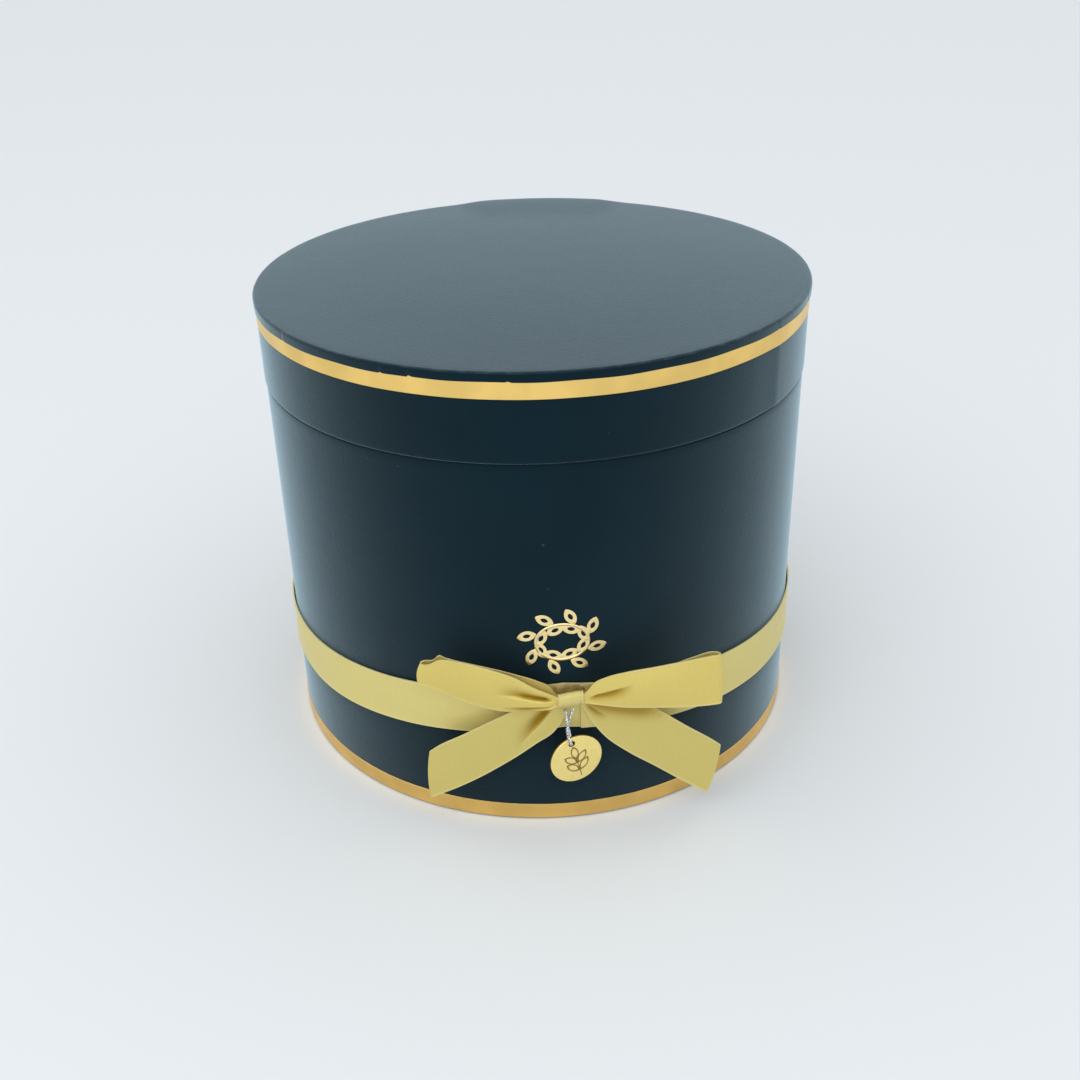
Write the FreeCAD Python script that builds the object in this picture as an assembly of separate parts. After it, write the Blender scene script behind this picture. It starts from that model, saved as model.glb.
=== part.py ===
"""Round flower box: a wrapped board tube with a neck, a lift-off lid, a satin bow and a hung charm.

Millimetres. The origin is the centre of the base on the table, +Z is up and the front is -Y.
Angles round the box are counted from the front, towards +X.
"""
import FreeCAD, Part
import math
import os

from FreeCAD import Vector

# Box: board, paper and foil
box_diameter = 217.8   # over the paper of the body
box_height = 189.2     # table to the top of the lid
lid_depth = 33.5       # lower edge of the lid to its top
board = 2.0            # greyboard of the tube, base and lid
neck_board = 1.5       # greyboard of the neck sleeve
paper = 0.25           # covering and lining paper
foil = 0.12            # foil stripes and motif
foil_gap = 0.05        # between foil and paper
turn_in = 15.0         # paper turned over an edge
paper_lap = 15.0       # width of the lapped seam of a wrap
lid_seam_angle = 49.5  # where the wrap of the lid laps
body_seam_angle = 180.0
base_inset = 3.0       # base paper inside the edge of the body
lid_overhang = 0.5     # radius of the lid over that of the body
seam_gap = 0.6         # open line between lid and shoulder
seat_gap = 0.3         # lining of the lid above the edge of the neck
lid_play = 0.5         # radial play of the lid on its neck
edge_band = 2.7        # height of the turned-down edge of the top paper
edge_build = 0.6       # thickness of that pleated edge
edge_round = 1.3       # rounding of the top edge
edge_facets = 2        # facets across that rounding
lid_stripe_height = 7.1
base_stripe_height = 7.0

# Foil motif on the front: a wreath of leaves
motif_width = 33.0
motif_height = 28.6
motif_z = 83.2
motif_line = 1.25      # width of its lines
leaf_length = 7.4
leaf_width = 4.2
leaf_count = 16
leaf_tilt = 35.0       # leaf against the stem
leaf_facets = 3        # facets along either side of a leaf
stem_facets = 24       # facets round the stem

# Ribbon band round the body
ribbon_width = 20.0
ribbon = 0.4           # thickness
band_z = 45.9          # middle of the band at the sides and back
band_lift = 9.0        # how much higher the bow holds it at the front
band_spread = 62.0     # angle over which the lift dies away
band_gap = 0.3         # play between band and body
band_lap = 7.2         # angle of the lapped joint at the front
band_end = 3.3         # angle of its outer end
lap_gap = 0.1
band_step = 10.0       # angle between sections
band_facets = 2        # facets between them

# Bow, glued to the band
bow_x = 2.2            # middle of the bow beside the middle of the front
knot_rise = 6.4        # middle of the knot above the middle of the band
knot_width = 9.2
knot_height = 5.2
knot_room = 0.3        # room inside the wrap of the knot
knot_crown = 0.3       # swell of the knot at its middle
layer_room = 0.45      # room between the layers in the knot
waist_pleat = 0.1      # depth of the pleats in the knot
fan_pleat = 1.0        # depth of the pleats where the ribbon fans out
flat_pleat = 0.03      # what is left of them at the ends
pleat_count = 2        # pleats across a ribbon
strip_facets = 6       # facets across a ribbon
bow_facets = 2         # facets between two stations along it
knot_facets = 16       # facets round the knot
fold_radius = 1.8      # round of a loop's end
belly = 2.2            # how far the front of a loop swells
left_loop_reach = 55.3      # knot to the fold
right_loop_reach = 57.0
left_loop_rise = 13.8       # fold above the knot
right_loop_rise = 5.3
left_loop_set_back = 5.0    # fold towards the wall
right_loop_set_back = 1.5
left_loop_spring = 1.0      # how steeply a loop springs up out of the knot
right_loop_spring = 2.4
left_loop_end = 9.4         # height of the crumpled left fold
right_loop_end = 20.6       # and of the flat right one
loop_shoulder = 12.5        # from the fold back to where a loop is full
left_tail_reach = 54.7      # knot to the cut end
right_tail_reach = 55.9
left_tail_drop = 36.5       # cut end below the knot
right_tail_drop = 41.2
left_tail_set_back = 7.0    # cut end towards the wall
right_tail_set_back = 3.0
fan_start_length = 5.0      # three lengths at which the ribbon fans out
fan_middle_length = 13.0
fan_end_length = 24.0
loop_shares = (0.55, 0.78, 0.90)     # share of its width at each, in a loop
tail_shares = (0.70, 0.92, 0.98)     # and in a tail
spring_shares = (1.0, 1.0, 0.5)      # share of the spring at each
shoulder_shares = {-1: 0.83, 1: 1.0}
loop_end_lean = {-1: -0.28, 1: -0.08}  # outward lean of the folded end, per unit of height
tail_bow = {-1: 0.85, 1: 1.0}        # how early a tail drops: 1 is straight
tail_cut_lean = {-1: -0.07, 1: 0.21}  # outward lean of the slant cut, per unit of height
glue_width = 12.0
glue_height = 13.0
glue_pad = 1.0         # thickness
pad_room = 0.1         # between glue, band and knot

# Charm on its cord
tag_diameter = 21.0
tag_thickness = 1.0
tag_hole = 2.6
tag_hole_offset = 7.8  # hole from the middle of the tag
tag_roll = 13.7        # turn of the tag in its own plane
tag_turn = 16.6        # turn of the tag to the right
cord_set_in = 1.5      # cord behind the face of the knot
hole_drop = 19.75      # hole below the middle of the knot
cord_diameter = 1.2
cord_facets = 6        # facets round the cord
cord_loop = 1.6        # half the width of the loop through the hole
cord_sway = 1.4        # how far the strands hang to the left
cord_spread = 1.7      # half the distance of the strands under the knot
cord_stem = 5.5        # height over which the strands run together
cord_room = 0.4        # strands below the knot

# Levels and radii that follow
body_radius = box_diameter / 2
tube_radius = body_radius - paper
tube_bore = tube_radius - board
neck_radius = tube_bore - paper
neck_bore = neck_radius - neck_board
lid_radius = body_radius + lid_overhang
rim_bore = neck_radius + 2 * paper + lid_play
base_level = 2 * paper
lid_level = box_height - lid_depth
shoulder_level = lid_level - seam_gap
lid_board_top = box_height - paper
lid_board_under = lid_board_top - board
neck_top = lid_board_under - paper - seat_gap - paper
lid_stripe_top = box_height - edge_band
lid_stripe_under = lid_stripe_top - lid_stripe_height
base_stripe_top = paper + base_stripe_height

band_radius = body_radius + paper + band_gap
band_outside = band_radius + 2 * ribbon + lap_gap
knot_z = band_z + band_lift + knot_rise
layer_pitch = ribbon + layer_room
knot_inside_depth = 4 * layer_pitch + 2 * waist_pleat + 2 * knot_room
knot_depth = knot_inside_depth + 2 * ribbon
knot_back = -(band_outside + glue_pad + 2 * pad_room)
knot_middle = knot_back - knot_crown - knot_depth / 2
knot_face = knot_middle - knot_depth / 2 - knot_crown
fan_start = knot_width / 2 + 2 * knot_room
fan_stations = (fan_start_length, fan_middle_length, fan_end_length)
loop_reach = {-1: left_loop_reach, 1: right_loop_reach}
loop_rise = {-1: left_loop_rise, 1: right_loop_rise}
loop_set_back = {-1: left_loop_set_back, 1: right_loop_set_back}
loop_spring = {-1: left_loop_spring, 1: right_loop_spring}
loop_end = {-1: left_loop_end, 1: right_loop_end}
tail_reach = {-1: left_tail_reach, 1: right_tail_reach}
tail_drop = {-1: left_tail_drop, 1: right_tail_drop}
tail_set_back = {-1: left_tail_set_back, 1: right_tail_set_back}
cord_y = knot_face + cord_set_in
hole_z = knot_z - hole_drop
cord_lean = tag_hole_offset * math.sin(math.radians(tag_roll)) * math.sin(math.radians(tag_turn))
cord_top = knot_z - knot_height / 2 - knot_crown - cord_room - cord_diameter / 2

UP = Vector(0, 0, 1)


def around(radius, angle, z):
    """Point on a circle round the box, by its angle from the front."""
    turn = math.radians(angle)
    return Vector(radius * math.sin(turn), -radius * math.cos(turn), z)


def ring(inner, outer, low, high):
    """Round tube, or a disc where the inner radius is 0."""
    shape = Part.makeCylinder(outer, high - low, Vector(0, 0, low))
    if inner > 0:
        shape = shape.cut(Part.makeCylinder(inner, high - low, Vector(0, 0, low)))
    return shape


def lap(radius, angle, low, high):
    """Second layer of paper where a wrap laps over its own start."""
    span = math.degrees(paper_lap / radius)
    bar = Part.makeCylinder(radius + paper, high - low, Vector(0, 0, low), UP, span)
    bore = Part.makeCylinder(radius, high - low, Vector(0, 0, low), UP, span)
    strip = bar.cut(bore)
    strip.rotate(Vector(0, 0, 0), UP, angle - 90)
    return strip


def stripe(radius, low, high):
    """Ring of foil on a wall of the given radius."""
    return ring(radius + foil_gap, radius + foil_gap + foil, low, high)


def revolve(points):
    """Ring made by turning a closed outline of (radius, z) points round the axis."""
    corners = [Vector(radius, 0, z) for radius, z in points]
    face = Part.Face(Part.makePolygon(corners + corners[:1]))
    return face.revolve(Vector(0, 0, 0), UP, 360)


def body_wrap():
    """Paper of the body: turned under the base, up the wall, over the shoulder and down inside."""
    low = paper
    outline = [
        (body_radius - turn_in, low),
        (body_radius, low),
        (body_radius, shoulder_level),
        (neck_radius, shoulder_level),
        (neck_radius, shoulder_level - turn_in),
        (tube_bore, shoulder_level - turn_in),
        (tube_bore, shoulder_level - paper),
        (tube_radius, shoulder_level - paper),
        (tube_radius, base_level),
        (body_radius - turn_in, base_level),
    ]
    seam = lap(body_radius, body_seam_angle, base_stripe_top, shoulder_level)
    return revolve(outline).fuse(seam).removeSplitter()


def neck_wrap():
    """Paper of the neck: outside above the shoulder, over its edge and down the inside."""
    top = neck_top + paper
    outline = [
        (neck_radius + paper, shoulder_level),
        (neck_radius + paper, top),
        (neck_bore - paper, top),
        (neck_bore - paper, base_level + board + paper),
        (neck_bore, base_level + board + paper),
        (neck_bore, neck_top),
        (neck_radius, neck_top),
        (neck_radius, shoulder_level),
    ]
    return revolve(outline)


def lid_rim_wrap():
    """Paper of the rim: down the outside, round the lower edge and up the inside, lapped at one side."""
    outline = [
        (lid_radius, lid_board_top),
        (lid_radius, lid_level),
        (rim_bore - paper, lid_level),
        (rim_bore - paper, lid_board_under - paper),
        (rim_bore, lid_board_under - paper),
        (rim_bore, lid_level + paper),
        (lid_radius - paper, lid_level + paper),
        (lid_radius - paper, lid_board_top),
    ]
    seam = lap(lid_radius, lid_seam_angle, lid_level, lid_stripe_under)
    return revolve(outline).fuse(seam).removeSplitter()


def lid_top_wrap():
    """Paper of the top, with its edge turned down over the rim in a rounded, pleated band."""
    edge = lid_radius + edge_build
    outline = [(0, lid_board_top), (0, box_height)]
    for index in range(edge_facets + 1):
        turn = math.pi / 2 * index / edge_facets
        drop = edge_round * (1 - math.cos(turn))
        outline.append((edge - edge_round * (1 - math.sin(turn)), box_height - drop))
    outline.append((edge, lid_stripe_top))
    outline.append((lid_radius, lid_stripe_top))
    outline.append((lid_radius, lid_board_top))
    return revolve(outline)


def leaf(length, width):
    """Corners (x, z) of a pointed leaf between two arcs, along x."""
    radius = (length ** 2 + width ** 2) / (4 * width)
    reach = math.asin(length / 2 / radius)
    side = []
    for index in range(leaf_facets):
        turn = reach * (2 * index / leaf_facets - 1)
        side.append((radius * math.sin(turn), radius * (math.cos(turn) - 1) + width / 2))
    return side + [(-x, -z) for x, z in side]


def oval(half_width, half_height):
    """Corners (x, z) of the oval stem of the wreath."""
    turns = [2 * math.pi * index / stem_facets for index in range(stem_facets)]
    return [(half_width * math.cos(turn), half_height * math.sin(turn)) for turn in turns]


def moved(corners, heading, x, z):
    """Corners turned by the heading and shifted."""
    cosine = math.cos(heading)
    sine = math.sin(heading)
    return [(x + u * cosine - w * sine, z + u * sine + w * cosine) for u, w in corners]


def foil_line(outer, inner):
    """Foil between two outlines of matching corners, laid on the front wall of the body."""
    low = body_radius + foil_gap
    high = low + foil
    sections = []
    for (x, z), (inner_x, inner_z) in zip(outer, inner):
        angle = math.degrees(x / body_radius)
        inner_angle = math.degrees(inner_x / body_radius)
        sections.append([
            around(low, angle, motif_z + z),
            around(high, angle, motif_z + z),
            around(high, inner_angle, motif_z + inner_z),
            around(low, inner_angle, motif_z + inner_z),
        ])
    return skin(sections, True)


def motif():
    """Wreath: leaves in line work, in turn outside and inside an oval stem."""
    lean = math.radians(leaf_tilt)
    reach = (leaf_length + motif_line) * math.sin(lean) + leaf_width / 2 * math.cos(lean)
    half_width = motif_width / 2 - reach
    half_height = motif_height / 2 - reach
    line = motif_line * 0.4
    stem = oval(half_width + line, half_height + line)
    pieces = [foil_line(stem, oval(half_width - line, half_height - line))]
    inset = motif_line * leaf_length / leaf_width
    stalk = leaf_length / 2 + motif_line
    for index in range(leaf_count):
        turn = 2 * math.pi * (index + 0.5) / leaf_count
        x = half_width * math.cos(turn)
        z = half_height * math.sin(turn)
        along = math.atan2(half_height * math.cos(turn), -half_width * math.sin(turn))
        heading = along - lean if index % 2 == 0 else along + lean
        outlines = []
        for cut in (0, 1):
            corners = leaf(leaf_length - 2 * cut * inset, leaf_width - 2 * cut * motif_line)
            corners = [(u + stalk, w) for u, w in corners]
            outlines.append(moved(corners, heading, x, z))
        pieces.append(foil_line(*outlines))
    return Part.makeCompound(pieces)


def band_middle(angle):
    """Height of the middle of the band: it climbs straight to the bow from either side."""
    share = abs((angle + 180) % 360 - 180) / band_spread
    if share >= 1:
        return band_z
    return band_z + band_lift * (1 - share) ** 1.25


def smooth(sections, steps):
    """More sections between those given, on smooth curves through their matching points."""
    count = len(sections[0])
    lengths = [0.0]
    for before, after in zip(sections, sections[1:]):
        lengths.append(lengths[-1] + sum((q - p).Length for p, q in zip(before, after)) / count)
    places = []
    for start, end in zip(lengths, lengths[1:]):
        places += [start + (end - start) * step / steps for step in range(steps)]
    places.append(lengths[-1])
    rails = []
    for index in range(count):
        rail = Part.BSplineCurve()
        rail.interpolate(Points=[section[index] for section in sections], Parameters=lengths)
        rails.append(rail)
    return [[rail.value(place) for rail in rails] for place in places]


def skin(sections, closed=False):
    """Solid through sections that are rings of matching points, in flat facets from each to the next."""
    outlines = [] if closed else [sections[0], sections[-1]]
    following = sections[1:] + (sections[:1] if closed else [])
    for before, after in zip(sections, following):
        for index in range(len(before)):
            beside = index - 1
            outlines.append([before[beside], before[index], after[beside]])
            outlines.append([before[index], after[index], after[beside]])
    faces = [Part.Face(Part.makePolygon(outline + outline[:1])) for outline in outlines]
    shell = Part.makeShell(faces)
    shell.sewShape()
    solid = Part.makeSolid(shell)
    if solid.Volume < 0:
        solid.reverse()
    return solid


def band_section(angle, radius):
    """Corners of the upright section of the band."""
    middle = band_middle(angle)
    low = middle - ribbon_width / 2
    high = middle + ribbon_width / 2
    return [
        around(radius, angle, low),
        around(radius + ribbon, angle, low),
        around(radius + ribbon, angle, high),
        around(radius, angle, high),
    ]


def ribbon_band():
    """Ribbon once round the body, from under the lap at the front to its outer end over it."""
    start = band_end + band_lap
    turn = 360 + band_lap
    steps = int(turn / band_step) + 1
    climb = ribbon + lap_gap
    sections = []
    for index in range(steps + 1):
        angle = start - turn * index / steps
        left = (turn * (steps - index) / steps - band_lap) / band_step - 1
        rise = climb * min(1, max(0, 1 - left / 2))
        sections.append(band_section(angle, band_radius + rise))
    return skin(smooth(sections, band_facets))


def strip_section(middle, across, out, half, pleat):
    """Points round the section of a ribbon that waves by the pleat's depth."""
    front = []
    back = []
    for index in range(strip_facets + 1):
        share = 2 * index / strip_facets - 1
        wave = pleat * math.sin(pleat_count * math.pi * (share + 1))
        place = middle + across * (half * share) + out * wave
        front.append(place + out * (ribbon / 2))
        back.append(place - out * (ribbon / 2))
    return front + back[::-1]


def ribbon_loft(stations):
    """Ribbon through stations of (point, half width, pleat, across or None), across its path."""
    points = [station[0] for station in stations]
    sections = []
    for index, (point, half, pleat, across) in enumerate(stations):
        before = points[max(index - 1, 0)]
        after = points[min(index + 1, len(points) - 1)]
        along = (after - before).normalize()
        across = across or (UP - along * UP.dot(along)).normalize()
        out = along.cross(across).normalize()
        sections.append(strip_section(point, across, out, half, pleat))
    return skin(smooth(sections, bow_facets))


def waist_y(layer):
    """Depth of a layer in the knot, counted from the wall."""
    return knot_middle - (layer - 1.5) * layer_pitch


def waist_half(layer):
    """Half width of a layer in the knot: what the oval leaves at its depth."""
    depth = abs(layer - 1.5) * layer_pitch + waist_pleat + ribbon / 2
    share = depth / (knot_inside_depth / 2)
    return (knot_height / 2 - ribbon) * math.sqrt(1 - share ** 2) - knot_room


def loop_across(side):
    """Direction across a loop, square to its rise."""
    tilt = math.atan2(loop_rise[side], loop_reach[side] - fan_start)
    return Vector(-side * math.sin(tilt), 0, math.cos(tilt))


def loop_end_across(side):
    """Direction along the folded end of a loop."""
    return Vector(side * loop_end_lean[side], 0, 1).normalize()


def loop_point(side, reach, y, spring=0):
    """Point on the middle line of a loop at a distance from the knot, with a share of its spring."""
    share = max(0, (reach - fan_start) / (loop_reach[side] - fan_start))
    set_back = loop_set_back[side] * share ** 2
    z = knot_z + loop_rise[side] * share + loop_spring[side] * spring
    return Vector(bow_x + side * reach, y + set_back, z)


def fan_pleat_at(index):
    """Depth of the pleats at one of the stations where a ribbon fans out."""
    return flat_pleat + (fan_pleat - flat_pleat) * (1 - index / (len(fan_stations) - 1))


def loop_layer(side, front):
    """Layer in the knot that a loop's front or back runs into."""
    if front:
        return 3
    return 1 if side < 0 else 2


def loop_half(side, front):
    """Stations of one layer of a loop, from the knot out to the start of its fold."""
    layer = loop_layer(side, front)
    start = waist_y(layer)
    sign = 1 if front else -1
    straight = loop_reach[side] - fold_radius
    opening = 2 * fold_radius - (loop_layer(side, True) - loop_layer(side, False)) * layer_pitch
    across = loop_across(side)
    stations = [(loop_point(side, fan_start, start), waist_half(layer), sign * waist_pleat, UP)]
    widths = list(loop_shares) + [shoulder_shares[side]]
    reaches = [fan_start + length for length in fan_stations] + [loop_reach[side] - loop_shoulder]
    for index, reach in enumerate(reaches):
        share = (reach - fan_start) / (straight - fan_start)
        if front:
            y = start - belly * math.sin(math.pi * share ** 0.7) - opening * share
        else:
            y = start - layer_pitch * math.sin(math.pi * share ** 0.5)
        flat = index >= len(fan_stations)
        spring = 0 if flat else spring_shares[index]
        pleat = flat_pleat if flat else fan_pleat_at(index) * (1 if front else 0.3)
        point = loop_point(side, reach, y, spring)
        stations.append((point, ribbon_width / 2 * widths[index], sign * pleat, across))
    end = loop_point(side, straight, start - (opening if front else 0))
    stations.append((end, loop_end[side] / 2, sign * flat_pleat, loop_end_across(side)))
    return stations


def loop_fold(side):
    """Stations round the outer fold of a loop, from its back to its front."""
    back = loop_half(side, False)[-1][0].y
    stations = []
    for angle in (-45, 0, 45):
        turn = math.radians(angle)
        reach = loop_reach[side] - fold_radius * (1 - math.cos(turn))
        point = loop_point(side, reach, 0)
        y = back - fold_radius * (1 + math.sin(turn))
        stations.append((Vector(point.x, y, point.z), loop_end[side] / 2, 0, loop_end_across(side)))
    return stations


def bow_loops():
    """Both loops in one ribbon: back, left fold, front across the knot, right fold and back."""
    stations = []
    for side in (-1, 1):
        layer = loop_layer(side, False)
        lap_over = Vector(bow_x - side * fan_start / 2, waist_y(layer), knot_z)
        start = (lap_over, waist_half(layer), -waist_pleat, UP)
        middle = Vector(bow_x + side * fan_start / 2, waist_y(3), knot_z)
        end = (middle, waist_half(3), waist_pleat, UP)
        out = [start] + loop_half(side, False) + loop_fold(side) + loop_half(side, True)[::-1] + [end]
        stations += out if side < 0 else out[::-1]
    return ribbon_loft(stations)


def tail_stations(side):
    """Stations of one tail from the knot to its slant-cut end."""
    start = waist_y(0)
    stations = [(Vector(bow_x + side * fan_start, start, knot_z), waist_half(0), waist_pleat, UP)]
    run = tail_reach[side] - fan_start
    for index, length in enumerate(fan_stations):
        half = ribbon_width / 2 * tail_shares[index]
        share = length / run
        y = start + layer_pitch * math.sin(math.pi * share ** 0.5) + tail_set_back[side] * share ** 1.5
        drop = tail_drop[side] * share ** tail_bow[side]
        point = Vector(bow_x + side * (fan_start + length), y, knot_z - drop)
        stations.append((point, half, 0.4 * fan_pleat_at(index), None))
    square = Vector(side * tail_bow[side] * tail_drop[side], 0, run).normalize()
    cut = Vector(side * tail_cut_lean[side], 0, 1).normalize()
    end = Vector(bow_x + side * tail_reach[side], start + tail_set_back[side], knot_z - tail_drop[side])
    stations.append((end, ribbon_width / 2 / square.dot(cut), flat_pleat, cut))
    return stations


def bow_tails():
    """Both tails in one ribbon through the back of the knot."""
    middle = (Vector(bow_x, waist_y(0), knot_z), waist_half(0), waist_pleat, UP)
    return ribbon_loft(tail_stations(-1)[::-1] + [middle] + tail_stations(1))


def knot_section(offset, shrink):
    """Points on the oval round the waist at a place along the knot, inside it by the shrink."""
    swell = knot_crown * (1 - (2 * offset / knot_width) ** 2) - shrink
    points = []
    for index in range(knot_facets):
        turn = 2 * math.pi * index / knot_facets
        y = knot_middle + (knot_depth / 2 + swell) * math.cos(turn)
        z = knot_z + (knot_height / 2 + swell) * math.sin(turn)
        points.append(Vector(bow_x + offset, y, z))
    return points


def knot_wrap():
    """Short ribbon round the waist of the bow, a little fuller at its middle."""
    places = [knot_width * share for share in (-0.5, -0.25, 0, 0.25, 0.5)]
    outside = skin([knot_section(place, 0) for place in places])
    inside = skin([knot_section(place, ribbon) for place in places])
    return outside.cut(inside)


def glue_pad_shape():
    """Pad of clear glue between the band and the back of the knot."""
    depth = glue_pad + band_outside
    pad = Part.makeBox(glue_width, depth, glue_height)
    pad.translate(Vector(bow_x - glue_width / 2, knot_back + pad_room, knot_z - glue_height * 0.7))
    edges = [e for e in pad.Edges if abs(e.tangentAt(e.FirstParameter).y) > 0.9]
    pad = pad.makeFillet(min(glue_width, glue_height) / 4, edges)
    return pad.cut(ring(0, band_outside + pad_room, 0, box_height))


def rounded_path(points):
    """Straight runs joined by tangent arcs, each as large as its two runs allow."""
    edges = []
    radii = []
    at = points[0]
    for before, corner, after in zip(points, points[1:], points[2:]):
        into = (before - corner).normalize()
        outof = (after - corner).normalize()
        trim = 0.45 * min((before - corner).Length, (after - corner).Length)
        half_turn = (math.pi - into.getAngle(outof)) / 2
        radius = trim / math.tan(half_turn)
        bisector = (into + outof).normalize()
        centre = corner + bisector * math.hypot(radius, trim)
        first = corner + into * trim
        last = corner + outof * trim
        middle = centre - bisector * radius
        edges.append(Part.LineSegment(at, first).toShape())
        edges.append(Part.Arc(first, middle, last).toShape())
        radii.append(radius)
        at = last
    edges.append(Part.LineSegment(at, points[-1]).toShape())
    return Part.Wire(edges), radii


def cord_points():
    """Route of the cord: down from the knot in front of the tag, through its hole and up behind it."""
    places = (
        (-cord_spread, cord_lean, cord_top),
        (-cord_sway, -cord_loop, hole_z + cord_stem),
        (0, -cord_loop, hole_z),
        (0, cord_loop, hole_z),
        (0.3 * cord_spread - cord_sway, cord_loop, hole_z + cord_stem),
        (cord_spread, cord_lean, cord_top),
    )
    return [Vector(bow_x + x, cord_y + y, z) for x, y, z in places]


def charm_cord():
    """Cord of the charm along its route."""
    points = cord_points()
    path, radii = rounded_path(points)
    along = (points[1] - points[0]).normalize()
    side = along.cross(Vector(0, 1, 0)).normalize()
    front = side.cross(along)
    corners = []
    for index in range(cord_facets):
        turn = 2 * math.pi * index / cord_facets
        corners.append(points[0] + (side * math.cos(turn) + front * math.sin(turn)) * (cord_diameter / 2))
    section = Part.makePolygon(corners + corners[:1])
    tube = path.makePipeShell([section], True, False)
    ideal = Part.Face(section).Area * path.Length
    print("cord length %.1f, volume share %.4f" % (path.Length, tube.Volume / ideal))
    print("cord radii", ["%.2f" % radius for radius in radii])
    return tube


def charm_tag():
    """Round tag with a hole near its rim, hung turned to the right."""
    disc = Part.makeCylinder(tag_diameter / 2, tag_thickness, Vector(0, 0, -tag_thickness / 2))
    disc.translate(Vector(0, -tag_hole_offset, 0))
    disc = disc.cut(Part.makeCylinder(tag_hole / 2, 2 * tag_thickness, Vector(0, 0, -tag_thickness)))
    disc.rotate(Vector(0, 0, 0), UP, tag_roll)
    disc.rotate(Vector(0, 0, 0), Vector(1, 0, 0), 90)
    disc.rotate(Vector(0, 0, 0), UP, tag_turn)
    disc.translate(Vector(bow_x, cord_y, hole_z))
    return disc


def parts():
    """All pieces by name."""
    return {
        "body_tube": ring(tube_bore, tube_radius, base_level, shoulder_level - paper),
        "base_board": ring(0, tube_bore, base_level, base_level + board),
        "body_wrap": body_wrap(),
        "base_paper": ring(0, body_radius - base_inset, 0, paper),
        "base_stripe": stripe(body_radius, paper, base_stripe_top),
        "neck_sleeve": ring(neck_bore, neck_radius, base_level + board, neck_top),
        "neck_wrap": neck_wrap(),
        "base_lining": ring(0, neck_bore, base_level + board, base_level + board + paper),
        "front_motif": motif(),
        "ribbon_band": ribbon_band(),
        "bow_glue": glue_pad_shape(),
        "bow_loops": bow_loops(),
        "bow_tails": bow_tails(),
        "bow_knot": knot_wrap(),
        "lid_rim": ring(rim_bore, lid_radius - paper, lid_level + paper, lid_board_top),
        "lid_board": ring(0, rim_bore, lid_board_under, lid_board_top),
        "lid_rim_wrap": lid_rim_wrap(),
        "lid_top_wrap": lid_top_wrap(),
        "lid_stripe": stripe(lid_radius, lid_stripe_under, lid_stripe_top),
        "lid_lining": ring(0, rim_bore, lid_board_under - paper, lid_board_under),
        "charm_cord": charm_cord(),
        "charm_tag": charm_tag(),
    }


print("charm hangs from", [round(value, 2) for value in (bow_x, cord_y + cord_lean, cord_top)])
print("tag turns about", [round(value, 2) for value in (bow_x, cord_y, hole_z)])
os.makedirs("parts", exist_ok=True)
for name, shape in parts().items():
    print(name, shape.ShapeType, "valid" if shape.isValid() else "INVALID", "%.1f mm3" % shape.Volume)
    shape.exportStep("parts/%s.step" % name)
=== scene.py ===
"""Flower box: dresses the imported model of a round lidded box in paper, foil and satin.

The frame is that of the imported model, in metres, with +Z up and the front towards -Y. The classes of
pieces hold millimetres unless they say otherwise, and the finishes hold metres. Angles round the box are
in degrees from the front, towards +X.
"""
import logging
import math
import random
from dataclasses import dataclass, replace
from enum import Enum
from typing import Callable, Sequence

import bmesh
import bpy
import numpy as np
from mathutils import Matrix, Vector


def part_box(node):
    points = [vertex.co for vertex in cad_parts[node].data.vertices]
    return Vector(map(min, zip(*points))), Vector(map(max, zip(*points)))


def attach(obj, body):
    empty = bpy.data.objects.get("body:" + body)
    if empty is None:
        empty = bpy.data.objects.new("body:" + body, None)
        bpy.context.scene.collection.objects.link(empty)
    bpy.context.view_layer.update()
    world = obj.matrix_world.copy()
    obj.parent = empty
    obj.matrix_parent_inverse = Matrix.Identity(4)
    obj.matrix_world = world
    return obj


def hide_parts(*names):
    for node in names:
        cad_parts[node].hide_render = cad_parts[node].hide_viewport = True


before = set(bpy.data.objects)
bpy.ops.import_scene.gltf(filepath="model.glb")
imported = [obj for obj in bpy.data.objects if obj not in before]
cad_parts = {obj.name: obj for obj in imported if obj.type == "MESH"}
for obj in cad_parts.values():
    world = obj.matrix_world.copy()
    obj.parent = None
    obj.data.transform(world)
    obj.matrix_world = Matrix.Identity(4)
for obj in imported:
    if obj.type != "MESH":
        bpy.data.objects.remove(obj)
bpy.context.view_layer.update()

MM = 0.001
LOG = logging.getLogger("flower_box")

Color = tuple[float, float, float]
Outline = list[tuple[float, float]]
Shape = tuple[np.ndarray, np.ndarray]
Form = Callable[[np.ndarray, np.ndarray, np.ndarray], Shape]


class Body(Enum):
    """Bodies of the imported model."""

    BOX = "box"
    LID = "lid"
    CHARM = "charm"
    TAG = "tag"


class Side(Enum):
    """Side of the bow, with the sign of its x."""

    LEFT = -1
    RIGHT = 1


class Layer(Enum):
    """Layers of ribbon in the knot, counted from the wall."""

    TAILS = 0
    LEFT_BACK = 1
    RIGHT_BACK = 2
    FRONT = 3


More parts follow.
